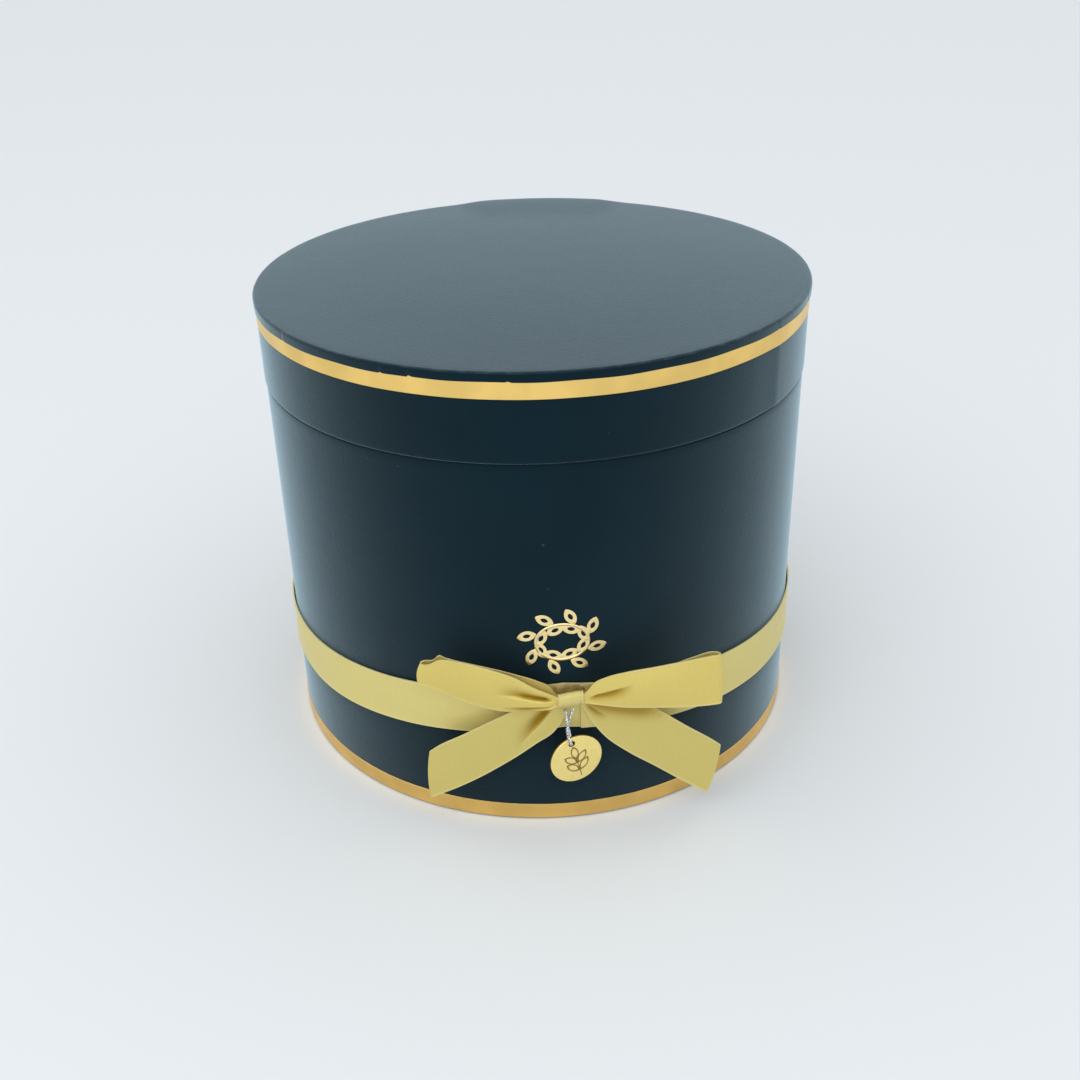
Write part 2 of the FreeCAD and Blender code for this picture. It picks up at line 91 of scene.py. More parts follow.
class Board:
    """A node tree under construction."""

    def __init__(self, tree: bpy.types.NodeTree) -> None:
        """Takes the tree that the nodes go into."""
        self.tree = tree

    def add(self, kind: str, inputs: dict | None = None, **settings: object) -> bpy.types.Node:
        """Adds a node.

        Args:
            kind: The node's type.
            inputs: Values or output sockets, by the name or number of the input.
            settings: Properties of the node.

        Returns:
            The node.
        """
        node = self.tree.nodes.new(kind)
        for name, value in settings.items():
            setattr(node, name, value)
        for name, value in (inputs or {}).items():
            self.feed(node.inputs[name], value)
        return node

    def out(self, kind: str, inputs: dict | None = None, **settings: object) -> bpy.types.NodeSocket:
        """First output of an added node."""
        return self.add(kind, inputs, **settings).outputs[0]

    def feed(self, socket: bpy.types.NodeSocket, value: object) -> None:
        """Links an output to a socket, or sets the socket's value.

        Args:
            socket: The input.
            value: Output socket or value.
        """
        if isinstance(value, bpy.types.NodeSocket):
            self.tree.links.new(value, socket)
        else:
            socket.default_value = value

    def math(self, operation: str, *values: object) -> bpy.types.NodeSocket:
        """Output of a math node on up to three values or sockets."""
        return self.out("ShaderNodeMath", dict(enumerate(values)), operation=operation)

    def plus(self, first: object, second: object) -> bpy.types.NodeSocket:
        """Sum of two values or sockets."""
        return self.math("ADD", first, second)

    def times(self, first: object, second: object) -> bpy.types.NodeSocket:
        """Product of two values or sockets."""
        return self.math("MULTIPLY", first, second)

    def wave(self, value: object, period: float) -> bpy.types.NodeSocket:
        """Sine of a value with a given period."""
        return self.math("SINE", self.times(value, 2 * math.pi / period))

    def vector(self, operation: str, *values: object) -> bpy.types.NodeSocket:
        """Vector output of a vector math node on values or sockets."""
        return self.out("ShaderNodeVectorMath", dict(enumerate(values)), operation=operation)

    def scaled(self, vector: object, factor: object) -> bpy.types.NodeSocket:
        """Vector times a factor."""
        return self.out("ShaderNodeVectorMath", {0: vector, "Scale": factor}, operation="SCALE")

    def xyz(self, **parts: object) -> bpy.types.NodeSocket:
        """Vector of its parts X, Y and Z."""
        return self.out("ShaderNodeCombineXYZ", parts)

    def split(self, vector: object) -> bpy.types.NodeOutputs:
        """Parts X, Y and Z of a vector."""
        return self.add("ShaderNodeSeparateXYZ", {0: vector}).outputs

    def ramp(
        self, value: object, low: float, high: float, start: float = 0.0, end: float = 1.0,
    ) -> bpy.types.NodeSocket:
        """Smooth step of a value from start to end between two limits."""
        inputs = {"Value": value, "From Min": low, "From Max": high, "To Min": start, "To Max": end}
        return self.out("ShaderNodeMapRange", inputs, interpolation_type="SMOOTHSTEP")

    def blend(self, share: object, first: object, second: object) -> bpy.types.NodeSocket:
        """Colour between two colours.

        Args:
            share: Share of the second.
            first: First colour or socket.
            second: Second colour or socket.

        Returns:
            The colour's socket.
        """
        node = self.add("ShaderNodeMix", data_type="RGBA")
        for name, value in (("Factor_Float", share), ("A_Color", first), ("B_Color", second)):
            socket = next(item for item in node.inputs if item.identifier == name)
            self.feed(socket, value)
        return next(item for item in node.outputs if item.identifier == "Result_Color")

    def noise(self, place: object, scale: float, detail: float = 2.0) -> bpy.types.NodeSocket:
        """Noise at a place, about 0.5."""
        return self.out("ShaderNodeTexNoise", {"Vector": place, "Scale": scale, "Detail": detail})

    def streaks(self, place: object, scales: Color, detail: float) -> bpy.types.NodeSocket:
        """Noise at a place, with a scale for each axis."""
        return self.noise(self.vector("MULTIPLY", place, scales), 1.0, detail)


def opaque(color: Color) -> tuple[float, float, float, float]:
    """Colour with full alpha."""
    return (*color, 1.0)


def shade(color: Color, factor: float) -> tuple[float, float, float, float]:
    """Colour made darker or lighter, with full alpha."""
    return (*(min(1.0, value * factor) for value in color), 1.0)


class Swatch(Board):
    """A material under construction: its tree and its shader."""

    def __init__(self, name: str) -> None:
        """Makes the material.

        Args:
            name: Name of the material.
        """
        self.material = bpy.data.materials.new(name)
        self.material.use_nodes = True
        super().__init__(self.material.node_tree)
        self.shader = self.tree.nodes["Principled BSDF"]

    def place(self) -> bpy.types.NodeSocket:
        """Object coordinates, in metres."""
        return self.add("ShaderNodeTexCoord").outputs["Object"]

    def put(self, name: str, value: object) -> None:
        """Gives an input of the shader a value or a socket."""
        self.feed(self.shader.inputs[name], value)

    def relief(self, height: object, depth: float) -> None:
        """Bump of a given depth in metres."""
        inputs = {"Height": height, "Distance": depth, "Strength": 1.0}
        self.put("Normal", self.out("ShaderNodeBump", inputs))


@dataclass(frozen=True)
class Finish:
    """A surface finish: the record's slot and the shader's plain settings."""

    name: str
    slot: str
    color: Color
    roughness: float = 0.5
    metallic: float = 0.0
    specular: float = 0.5
    specular_tint: Color = (1.0, 1.0, 1.0)
    sheen: float = 0.0
    sheen_roughness: float = 0.5
    sheen_tint: Color = (1.0, 1.0, 1.0)
    coat: float = 0.0
    coat_roughness: float = 0.12
    transmission: float = 0.0
    anisotropy: float = 0.0

    def material(self) -> bpy.types.Material:
        """Material of this finish, made at its first use.

        Returns:
            The material.
        """
        known = bpy.data.materials.get(self.name)
        if known:
            return known
        swatch = Swatch(self.name)
        plain = {
            "Base Color": opaque(self.color),
            "Roughness": self.roughness,
            "Metallic": self.metallic,
            "Specular IOR Level": self.specular,
            "Specular Tint": opaque(self.specular_tint),
            "Sheen Weight": self.sheen,
            "Sheen Roughness": self.sheen_roughness,
            "Sheen Tint": opaque(self.sheen_tint),
            "Coat Weight": self.coat,
            "Coat Roughness": self.coat_roughness,
            "Transmission Weight": self.transmission,
            "Anisotropic": self.anisotropy,
        }
        for name, value in plain.items():
            swatch.put(name, value)
        self.pattern(swatch)
        return swatch.material

    def pattern(self, swatch: Swatch) -> None:
        """Adds the finish's colour variation, roughness and relief."""

    def mottled(
        self, swatch: Swatch, noise: object, dark: float, light: float, low: float = 0.35, high: float = 0.65
    ) -> bpy.types.NodeSocket:
        """Colour that goes from a darker to a lighter shade while a noise goes from low to high."""
        share = swatch.ramp(noise, low, high)
        return swatch.blend(share, shade(self.color, dark), shade(self.color, light))

    def roughen(self, swatch: Swatch, noise: object, spread: float) -> None:
        """Varies the roughness with a noise."""
        rough = swatch.ramp(noise, 0.3, 0.7, self.roughness - spread, self.roughness + spread)
        swatch.put("Roughness", rough)

    def dress(self, piece: bpy.types.Object) -> None:
        """Puts the finish on every face of a piece."""
        piece.data.materials.clear()
        piece.data.materials.append(self.material())


@dataclass(frozen=True)
class CoveringPaper(Finish):
    """Matte laminated covering paper: fine grain, faint clouds and a few pale scuffs.

    Past a given radius, in metres, it is painted paler towards the rim of the lid's top, a painted sheen,
    with rubbed spots of wear on the rim.
    """

    scuff_color: Color = (0.20, 0.24, 0.27)
    worn_and_sheen_color: Color = (0.20, 0.23, 0.25)
    painted_sheen_from: float = 0.0
    painted_sheen_to: float = 0.1085
    rim: tuple[float, float] = (0.1066, 0.1084)
    top_face: tuple[float, float] = (0.1884, 0.1890)

    def pattern(self, swatch: Swatch) -> None:
        """Adds grain, clouds and scuffs, and where set, rubbed spots and a painted sheen.

        Args:
            swatch: The material.
        """
        place = swatch.place()
        clouds = swatch.noise(place, 28, 3)
        grain = swatch.noise(place, 900)
        tone = self.mottled(swatch, clouds, 0.86, 1.15, 0.3, 0.7)
        speck = swatch.ramp(swatch.noise(place, 420, 1), 0.79, 0.84)
        tone = swatch.blend(swatch.times(speck, 0.12), tone, opaque(self.scuff_color))
        if self.painted_sheen_from:
            # Painted sheen and wear: paler paper towards the lid's rim, with rubbed spots on it.
            tone = swatch.blend(self.wear_and_painted_sheen(swatch, place), tone, opaque(self.worn_and_sheen_color))
        swatch.put("Base Color", tone)
        self.roughen(swatch, grain, 0.05)
        swatch.relief(swatch.plus(grain, swatch.times(clouds, 3.0)), 0.00005)

    def wear_and_painted_sheen(self, swatch: Swatch, place: bpy.types.NodeSocket) -> bpy.types.NodeSocket:
        """Share of paler paper at a place: a faint painted sheen outwards and rubbed spots of wear on the
        rim.

        Args:
            swatch: The material.
            place: Object coordinates.

        Returns:
            The share, none below the top.
        """
        flat = swatch.vector("MULTIPLY", place, (1.0, 1.0, 0.0))
        radius = swatch.add("ShaderNodeVectorMath", {0: flat}, operation="LENGTH").outputs["Value"]
        # Painted sheen: paler outwards, standing in for the brighter grazing sheen near the lid's rim.
        painted_sheen = swatch.ramp(radius, self.painted_sheen_from, self.painted_sheen_to, 0, 0.05)
        rubbed = swatch.ramp(swatch.noise(place, 160, 4), 0.48, 0.62, 0, 0.08)
        edge = swatch.times(swatch.ramp(radius, *self.rim), rubbed)
        top = swatch.ramp(swatch.split(place)["Z"], *self.top_face)
        return swatch.times(swatch.plus(painted_sheen, edge), top)


class Foil(Finish):
    """Hot-stamped foil: satin metal with faint ripples and rubbed spots."""

    def pattern(self, swatch: Swatch) -> None:
        """Adds ripples, rubbing and a fine tooth.

        Args:
            swatch: The material.
        """
        place = swatch.place()
        ripples = swatch.noise(place, 60)
        tooth = swatch.noise(place, 1600)
        swatch.put("Base Color", self.mottled(swatch, ripples, 0.93, 1.05, 0.35, 0.68))
        self.roughen(swatch, tooth, 0.06)
        swatch.relief(swatch.plus(swatch.times(ripples, 6.0), tooth), 0.00002)


class Greyboard(Finish):
    """Raw greyboard: flecked and fibrous."""

    def pattern(self, swatch: Swatch) -> None:
        """Adds fibres and flecks.

        Args:
            swatch: The material.
        """
        fibre = swatch.noise(swatch.place(), 340, 4)
        swatch.put("Base Color", self.mottled(swatch, fibre, 0.75, 1.2, 0.3, 0.7))
        swatch.relief(fibre, 0.00006)


@dataclass(frozen=True)
class Satin(Finish):
    """Satin ribbon: the UV map runs along and across it in metres, with woven edges."""

    edge_color: Color = (0.82, 0.74, 0.42)
    # Colour of the painted shade in folds.
    painted_shade_color: Color = (0.36, 0.215, 0.012)
    edge: tuple[float, float] = (0.0092, 0.0096)
    weft: float = 0.00035
    warp: float = 0.00022
    knit: float = 0.0009

    def pattern(self, swatch: Swatch) -> None:
        """Adds threads, slubs, pale woven edges and painted shade in the folds.

        Args:
            swatch: The material.
        """
        uv = swatch.out("ShaderNodeUVMap", uv_map="ribbon")
        along, across, _ = swatch.split(uv)
        edge = swatch.ramp(swatch.math("ABSOLUTE", across), *self.edge)
        slub = swatch.streaks(uv, (1300.0, 1700.0, 0.0), 3)
        soft = swatch.ramp(swatch.noise(uv, 90), 0.35, 0.65, 0, 0.3)
        tone = self.mottled(swatch, slub, 0.96, 1.04, 0.3, 0.7)
        tone = swatch.blend(soft, tone, shade(self.color, 0.96))
        tone = swatch.blend(swatch.times(edge, 0.35), tone, opaque(self.edge_color))
        # Painted shade: the colour darkens towards a deep brown where the fold attribute is high, in the
        # valleys of pleats and gathers.
        fold = swatch.add("ShaderNodeAttribute", attribute_name="fold").outputs["Fac"]
        swatch.put("Base Color", swatch.blend(fold, tone, opaque(self.painted_shade_color)))
        swatch.put("Roughness", swatch.ramp(edge, 0, 1, self.roughness, self.roughness + 0.15))
        warp = swatch.times(swatch.wave(across, self.warp), 0.3)
        threads = swatch.times(swatch.plus(swatch.wave(along, self.weft), warp), 0.2)
        beads = swatch.times(edge, swatch.wave(along, self.knit))
        swatch.relief(swatch.plus(threads, beads), 0.000022)


class SpunMetal(Finish):
    """Satin-plated metal: fine clouds, brushed lines and small dents."""

    def pattern(self, swatch: Swatch) -> None:
        """Adds brushing and clouds.

        Args:
            swatch: The material.
        """
        place = swatch.place()
        brush = swatch.streaks(place, (260, 260, 4200), 3)
        clouds = swatch.noise(place, 240)
        swatch.put("Base Color", self.mottled(swatch, clouds, 0.97, 1.02))
        self.roughen(swatch, brush, 0.07)
        swatch.relief(swatch.plus(brush, clouds), 0.000012)


class MetalThread(Finish):
    """Silver thread: flat metal strips wound round each ply."""

    def pattern(self, swatch: Swatch) -> None:
        """Adds the wound strips, with painted shade in the gaps between them and painted highlight on them.

        Args:
            swatch: The material.
        """
        strips_and_painted_shade = swatch.streaks(swatch.place(), (1500, 1500, 5200), 1)
        # The colour runs from far darker to lighter: painted shade in the gaps between strips and painted
        # highlight on them.
        swatch.put("Base Color", self.mottled(swatch, strips_and_painted_shade, 0.35, 1.3))
        swatch.relief(strips_and_painted_shade, 0.00008)


class ClearGlue(Finish):
    """Set hot-melt glue: clear, a little yellow, with threads and bubbles."""

    def pattern(self, swatch: Swatch) -> None:
        """Adds bubbles and streaks.

        Args:
            swatch: The material.
        """
        streak = swatch.streaks(swatch.place(), (500, 500, 160), 3)
        swatch.put("Base Color", self.mottled(swatch, streak, 0.85, 1.1))
        swatch.relief(streak, 0.0006)


PAPER = CoveringPaper(
    "covering_paper", "black_paper", (0.001, 0.0075, 0.013), roughness=0.45, specular=0.115,
    specular_tint=(0.25, 0.80, 1.0), sheen=0.95, sheen_roughness=0.40, sheen_tint=(0.60, 0.83, 0.945),
)
# Lid top paper, with rubbed spots and a painted sheen towards its rim.
LID_PAPER_WEAR_AND_PAINTED_SHEEN = replace(PAPER, name="lid_top_covering", painted_sheen_from=0.06)
FOIL = Foil("stamped_foil", "gold_foil", (0.90, 0.615, 0.19), roughness=0.36, metallic=1.0)
MOTIF_FOIL = Foil("motif_foil", "gold_foil", (0.97, 0.76, 0.38), roughness=0.36, metallic=1.0)
# Darker, more orange copy of the stripe foil: a painted reflection of its surroundings near the floor.
BASE_FOIL_PAINTED_REFLECTION = Foil("foot_foil", "gold_foil", (0.80, 0.53, 0.165), roughness=0.38, metallic=1.0)
BOARD = Greyboard("raw_greyboard", "greyboard", (0.42, 0.38, 0.32), roughness=0.9, specular=0.2)
SATIN = Satin(
    "woven_satin", "satin_ribbon", (0.73, 0.585, 0.165), roughness=0.40, metallic=0.3, specular=0.2,
    sheen=0.15, sheen_roughness=0.35, sheen_tint=(1.0, 0.90, 0.60),
)
# Copies of the one satin: the band paler as a painted sheen, the tails and the knot darker as painted shade.
BAND_SATIN_PAINTED_SHEEN = replace(SATIN, name="band_satin", color=(0.74, 0.63, 0.225))
TAIL_SATIN_PAINTED_SHADE = replace(SATIN, name="tail_satin", color=(0.655, 0.545, 0.17))
KNOT_SATIN_PAINTED_SHADE = replace(SATIN, name="knot_satin", color=(0.55, 0.47, 0.17))
SILVER = MetalThread("silver_thread", "silver_cord", (0.74, 0.75, 0.78), roughness=0.25, metallic=0.85)
GOLD = SpunMetal("tag_gold", "gold_tag", (1.0, 0.80, 0.295), roughness=0.32, metallic=0.88)
# Far darker copy of the tag's gold for its rim faces: painted shade on the edge.
TAG_EDGE_PAINTED_SHADE = SpunMetal("tag_edge", "gold_tag", (0.42, 0.27, 0.07), roughness=0.42, metallic=1.0)
ENGRAVED = SpunMetal("tag_engraving", "gold_tag", (0.30, 0.21, 0.06), roughness=0.6, metallic=0.4)
GLUE = ClearGlue(
    "set_glue", "clear_glue", (0.84, 0.70, 0.36), roughness=0.08, coat=0.5, transmission=0.85,
)


def around(radius: np.ndarray, angle: np.ndarray, z: np.ndarray) -> np.ndarray:
    """Points round the axis, by radius, angle in degrees from the front and height."""
    turn = np.radians(angle)
    return np.stack([radius * np.sin(turn), -radius * np.cos(turn), z + 0 * turn], axis=-1)


def step(value: np.ndarray, low: float, high: float) -> np.ndarray:
    """Smooth step from 0 to 1 between two limits."""
    share = np.clip((np.asarray(value, float) - low) / (high - low), 0, 1)
    return share * share * (3 - 2 * share)


def between(first: float, second: float, share: float) -> float:
    """Value at a share of the way from the first to the second."""
    return first + (second - first) * share


def hump(value: np.ndarray, middle: float, width: float) -> np.ndarray:
    """Bell of height 1 about a middle."""
    return np.exp(-(((np.asarray(value, float) - middle) / width) ** 2))


def ripple(angle: np.ndarray, count: float, phase: float = 0.0) -> np.ndarray:
    """Sine with a count of waves round the box, from a phase in degrees."""
    return np.sin(np.radians(count * angle + phase))


def unit(vectors: np.ndarray) -> np.ndarray:
    """Vectors at length 1."""
    return vectors / np.maximum(np.linalg.norm(vectors, axis=-1, keepdims=True), 1e-9)


def link(name: str, data: bpy.types.ID) -> bpy.types.Object:
    """Object of a mesh, a camera or a lamp, in the scene.

    Args:
        name: Name of the object.
        data: What it holds.

    Returns:
        The object.
    """
    item = bpy.data.objects.new(name, data)
    bpy.context.scene.collection.objects.link(item)
    return item


def discard(piece: bpy.types.Object) -> None:
    """Removes a piece and its mesh.

    Args:
        piece: The piece.
    """
    mesh = piece.data
    bpy.data.objects.remove(piece)
    bpy.data.meshes.remove(mesh)


def tube_faces(rows: int, columns: int, closed: bool = True) -> list[list[int]]:
    """Quads of a tube of points, by index.

    Args:
        rows: Number of rows of points.
        columns: Points round a row.
        closed: Whether the last row joins the first.

    Returns:
        Four indices for each quad.
    """
    i, j = np.meshgrid(np.arange(rows if closed else rows - 1), np.arange(columns), indexing="ij")
    after, beside = (i + 1) % rows, (j + 1) % columns
    places = (i * columns + j, after * columns + j, after * columns + beside, i * columns + beside)
    return np.stack([place.ravel() for place in places], axis=1).tolist()


def capped_faces(rows: int, columns: int) -> list[list[int]]:
    """Faces of a flat tube with closed ends, whose rows go out along one side and back along the other.

    Args:
        rows: Number of rows of points.
        columns: Points along either side of a row.

    Returns:
        Indices of each face's corners.
    """
    faces = tube_faces(rows, 2 * columns, False)
    for first in (0, (rows - 1) * 2 * columns):
        ends = range(first, first + 2 * columns)
        faces += [[ends[i], ends[i + 1], ends[-2 - i], ends[-1 - i]] for i in range(columns - 1)]
    return faces


def mesh_of(name: str, points: np.ndarray, faces: list[list[int]]) -> bpy.types.Mesh:
    """Mesh of points in millimetres.

    Args:
        name: Name of the mesh.
        points: Rows of x, y and z.
        faces: Indices of each face's corners.

    Returns:
        The mesh.
    """
    mesh = bpy.data.meshes.new(name)
    mesh.from_pydata((points.reshape(-1, 3) * MM).tolist(), [], faces)
    return mesh


def smooth(mesh: bpy.types.Mesh, sharp: float, merged: bool) -> None:
    """Turns the faces of a closed mesh outwards and smooths them.

    Args:
        mesh: The mesh.
        sharp: Angle in degrees over which an edge stays sharp.
        merged: Whether its doubles are merged first.
    """
    work = bmesh.new()
    work.from_mesh(mesh)
    if merged:
        bmesh.ops.remove_doubles(work, verts=work.verts, dist=1e-7)
        bmesh.ops.dissolve_degenerate(work, edges=work.edges, dist=1e-8)
    bmesh.ops.recalc_face_normals(work, faces=work.faces)
    work.to_mesh(mesh)
    work.free()
    mesh.shade_smooth()
    mesh.set_sharp_from_angle(angle=math.radians(sharp))


def solid(name: str, points: np.ndarray, faces: list[list[int]], sharp: float = 35.0) -> bpy.types.Object:
    """Closed piece from points in millimetres.

    Args:
        name: Name of the piece.
        points: Rows of x, y and z.
        faces: Indices of each face's corners.
        sharp: Angle in degrees over which an edge stays sharp.

    Returns:
        The piece.
    """
    mesh = mesh_of(name, points, faces)
    smooth(mesh, sharp, True)
    return link(name, mesh)


def turned(name: str, outline: Outline, form: Form, segments: int = 480) -> bpy.types.Object:
    """Piece turned round the axis of the box.

    Args:
        name: Name of the piece.
        outline: Closed outline of (radius, height), in millimetres.
        form: Changes radii and heights by place, from (radius, height, angle).
        segments: Steps round the axis.

    Returns:
        The piece.
    """
    turns = np.arange(segments) * 360 / segments
    angle, radius = np.meshgrid(turns, [r for r, _ in outline], indexing="ij")
    height = np.broadcast_to([z for _, z in outline], radius.shape)
    radius, height = form(radius, height, angle)
    return solid(name, around(radius, angle, height), tube_faces(*radius.shape))


def wall(radius: float, low: float, high: float, shares: Sequence[float]) -> Outline:
    """Points of an outline on a wall, at shares of its height."""
    return [(radius, low + (high - low) * share) for share in shares]


def corner(radius: float, height: float, size: float, start: float, count: int = 5) -> Outline:
    """Quarter round of an outline.

    Args:
        radius: Radius of its centre from the axis.
        height: Height of its centre.
        size: Radius of the round.
        start: Angle at which it starts, in degrees, counted from outwards to up.
        count: Number of points.

    Returns:
        Points of the round, turning by 90 degrees.
    """
    turns = [math.radians(start + 90 * index / (count - 1)) for index in range(count)]
    return [(radius + size * math.cos(turn), height + size * math.sin(turn)) for turn in turns]


def settle(piece: bpy.types.Object, body: Body, finish: Finish, *nodes: str) -> bpy.types.Object:
    """Dresses a bare piece, hangs it on its body and lets it stand for its CAD nodes.

    Args:
        piece: The piece.
        body: The body that it moves with.
        finish: Its finish.
        nodes: CAD nodes that it stands for.

    Returns:
        The piece.
    """
    if not piece.data.materials:
        finish.dress(piece)
    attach(piece, body.value)
    if nodes:
        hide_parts(*nodes)
    LOG.info("%s on %s, %d faces", piece.name, body.value, len(piece.data.polygons))
    return piece


class NodeForge:
    """Geometry Nodes tree of a piece, with named inputs for its sizes."""

    def __init__(self, name: str, sizes: dict[str, float | int]) -> None:
        """Makes the tree and its inputs.

        Args:
            name: Name of the tree.
            sizes: Value of each input by name.
        """
        self.tree = bpy.data.node_groups.new(name, "GeometryNodeTree")
        self.board = Board(self.tree)
        self.sizes = sizes
        face = self.tree.interface
        face.new_socket("Geometry", in_out="INPUT", socket_type="NodeSocketGeometry")
        for size, value in sizes.items():
            kind = "NodeSocketInt" if isinstance(value, int) else "NodeSocketFloat"
            face.new_socket(size, in_out="INPUT", socket_type=kind)
        face.new_socket("Geometry", in_out="OUTPUT", socket_type="NodeSocketGeometry")
        self.inputs = self.board.add("NodeGroupInput").outputs

    def join(self, *parts: bpy.types.NodeSocket) -> bpy.types.NodeSocket:
        """Joins geometries into one.

        Args:
            parts: Their sockets.

        Returns:
            The socket of the whole.
        """
        both = self.board.add("GeometryNodeJoinGeometry")
        for part in parts:
            self.board.feed(both.inputs[0], part)
        return both.outputs[0]

    def finish(self, geometry: bpy.types.NodeSocket, finish: Finish) -> None:
        """Ends the tree: instances made real, with the finish on them.

        Args:
            geometry: What the tree has made.
            finish: Its finish.
        """
        real = self.board.out("GeometryNodeRealizeInstances", {0: geometry})
        inputs = {0: real, "Material": finish.material()}
        self.board.add("NodeGroupOutput", {0: self.board.out("GeometryNodeSetMaterial", inputs)})

    def run(self, base: bpy.types.Object) -> bpy.types.Object:
        """Turns what the tree makes of a base object into a plain mesh on that object.

        Args:
            base: Object that holds the tree's incoming geometry.

        Returns:
            The object, with the made mesh and no modifier.
        """
        modifier = base.modifiers.new(self.tree.name, "NODES")
        modifier.node_group = self.tree
        for item in self.tree.interface.items_tree:
            if item.in_out == "INPUT" and item.name in self.sizes:
                modifier[item.identifier] = self.sizes[item.name]
        graph = bpy.context.evaluated_depsgraph_get()
        made = bpy.data.meshes.new_from_object(base.evaluated_get(graph))
        base.modifiers.remove(modifier)
        old = base.data
        base.data = made
        made.name = base.name
        bpy.data.meshes.remove(old)
        return base


@dataclass
class BoxShell:
    """Body and lid of the box: its paper wraps and foil stripes."""

    body_radius: float = 108.9
    height: float = 189.2
    lid_depth: float = 33.5
    board: float = 2.0
    paper: float = 0.25
    foil: float = 0.12
    foil_gap: float = 0.05
    foil_waver: float = 0.04
    foil_tuck: float = 0.2
    outside_from: float = 0.1
    mouth_chamfer: tuple[float, float] = (0.3, 0.4)
    turn_in: float = 15.0
    fold_round: float = 0.5
    shoulder_round: float = 0.4
    lid_overhang: float = 0.5
    lid_play: float = 0.5
    seam_gap: float = 0.6
    edge_band: float = 2.7
    edge_build: float = 0.6
    edge_round: float = 1.0
    hem_lap: float = 1.0
    hem_gap: float = 0.24
    hem_round: float = 0.15
    hem_notch: float = 0.45
    hem_waver: float = 0.10
    lid_stripe_height: float = 7.1
    base_stripe_height: float = 7.0
    lid_seam: float = 49.5
    body_seam: float = 180.0
    crease: float = 0.42
    crease_rise: float = 6.0
    crease_fall: float = 16.0
    pleat_depth: float = 0.16
    seen_pleats: tuple[float, ...] = (-58.7, -32.3, -26.5, -8.7, 48.4, 65.6)
    hidden_pleats: int = 15
    hidden_from: float = 78.0
    hidden_span: float = 210.0
    top_waver: float = 0.16
    waver_rings: tuple[float, float] = (30.0, 105.0)
    lift: float = 0.8
    lift_angle: float = 173.6
    lift_spread: tuple[float, float] = (13.0, 22.0)
    lift_rings: tuple[float, float] = (78.0, 110.0)
    top_steps: int = 1080
    top_rings: tuple[float, ...] = (0, 12, 24, 36, 48, 60, 72, 80, 86, 92, 97, 101, 104, 106.5)

    @property
    def lid_radius(self) -> float:
        """Radius over the paper of the lid's rim."""
        return self.body_radius + self.lid_overhang

    @property
    def lid_level(self) -> float:
        """Height of the lid's lower edge."""
        return self.height - self.lid_depth

    @property
    def neck_radius(self) -> float:
        """Outer radius of the neck's board."""
        return self.body_radius - 2 * self.paper - self.board

    def lapped(self, seam: float, outside: float) -> Form:
        """Form of a wrap that runs flat up to the edge of its outer layer and falls away past it.

        Args:
            seam: Angle of that edge.
            outside: Radius past which a point is on the outside.

        Returns:
            The form.
        """
        def form(radius: np.ndarray, height: np.ndarray, angle: np.ndarray) -> Shape:
            """Lifts the outside beside the seam and waves it faintly.

            Args:
                radius: Radii.
                height: Heights.
                angle: Angles.

            Returns:
                The new radii and the heights.
            """
            past = (angle - seam + 180) % 360 - 180
            before = np.clip(1 + past / self.crease_rise, 0, 1)
            after = np.clip(1 - past / self.crease_fall, 0, 1)
            lift = self.crease * np.where(past < 0, before, after) ** 2
            wave = 0.05 * ripple(angle, 3, 40) + 0.03 * ripple(angle, 7)
            return np.where(radius > outside, radius + lift + wave, radius), height
        return form

    def body_wrap(self) -> None:
        """Paper of the body, turned under the base and in over the shoulder."""
        outside, inside = self.body_radius, self.body_radius - self.paper
        shoulder, low = self.lid_level - self.seam_gap, self.paper
        bore, foot = inside - self.board, outside - self.turn_in
        fold, bend = self.fold_round, self.shoulder_round
        outline = [(foot, low)] + corner(outside - fold, low + fold, fold, -90)
        outline += wall(outside, low, shoulder, (0.02, 0.2, 0.4, 0.6, 0.8, 0.98))
        outline += corner(outside - bend, shoulder - bend, bend, 0)
        outline += [(self.neck_radius, shoulder), (self.neck_radius, shoulder - self.turn_in)]
        outline += [(bore, shoulder - self.turn_in), (bore, shoulder - self.paper)]
        outline += [(inside, shoulder - self.paper), (inside, 2 * self.paper), (foot, 2 * self.paper)]
        form = self.lapped(self.body_seam, inside + self.outside_from)
        settle(turned("body_paper", outline, form), Body.BOX, PAPER, "body_wrap")

    def lid_wrap(self) -> None:
        """Paper of the lid's rim, turned in round its lower edge."""
        outside, inside = self.lid_radius, self.lid_radius - self.paper
        top, low = self.height - self.paper, self.lid_level
        bore = self.neck_radius + 2 * self.paper + self.lid_play
        skin, under = bore - self.paper, top - self.board - self.paper
        fold = self.fold_round
        outline = corner(outside - fold, low + fold, fold, -90)
        outline += wall(outside, low, top, (0.05, 0.35, 0.65, 0.95))
        outline += [(outside, top), (inside, top), (inside, low + self.paper)]
        outline += [(bore, low + self.paper), (bore, under), (skin, under)]
        outline += [(skin, low + self.mouth_chamfer[1]), (skin + self.mouth_chamfer[0], low)]
        form = self.lapped(self.lid_seam, inside + self.outside_from)
        settle(turned("lid_paper", outline, form), Body.LID, PAPER, "lid_rim_wrap")

    def stripe(self, name: str, radius: float, low: float, high: float, seam: float) -> bpy.types.Object:
        """Ring of foil on a wall, with a faintly uneven edge.

        Args:
            name: Name of the piece.
            radius: Radius of the wall.
            low: Height of its lower edge.
            high: Height of its upper edge.
            seam: Angle of the seam in the wall's paper.

        Returns:
            The ring.
        """
        near = radius + self.foil_gap
        outline = wall(near, low, high, (1.0, 0.66, 0.33, 0.0))
        outline += wall(near + self.foil, low, high, (0.01, 0.33, 0.66, 0.99))
        lap = self.lapped(seam, radius)

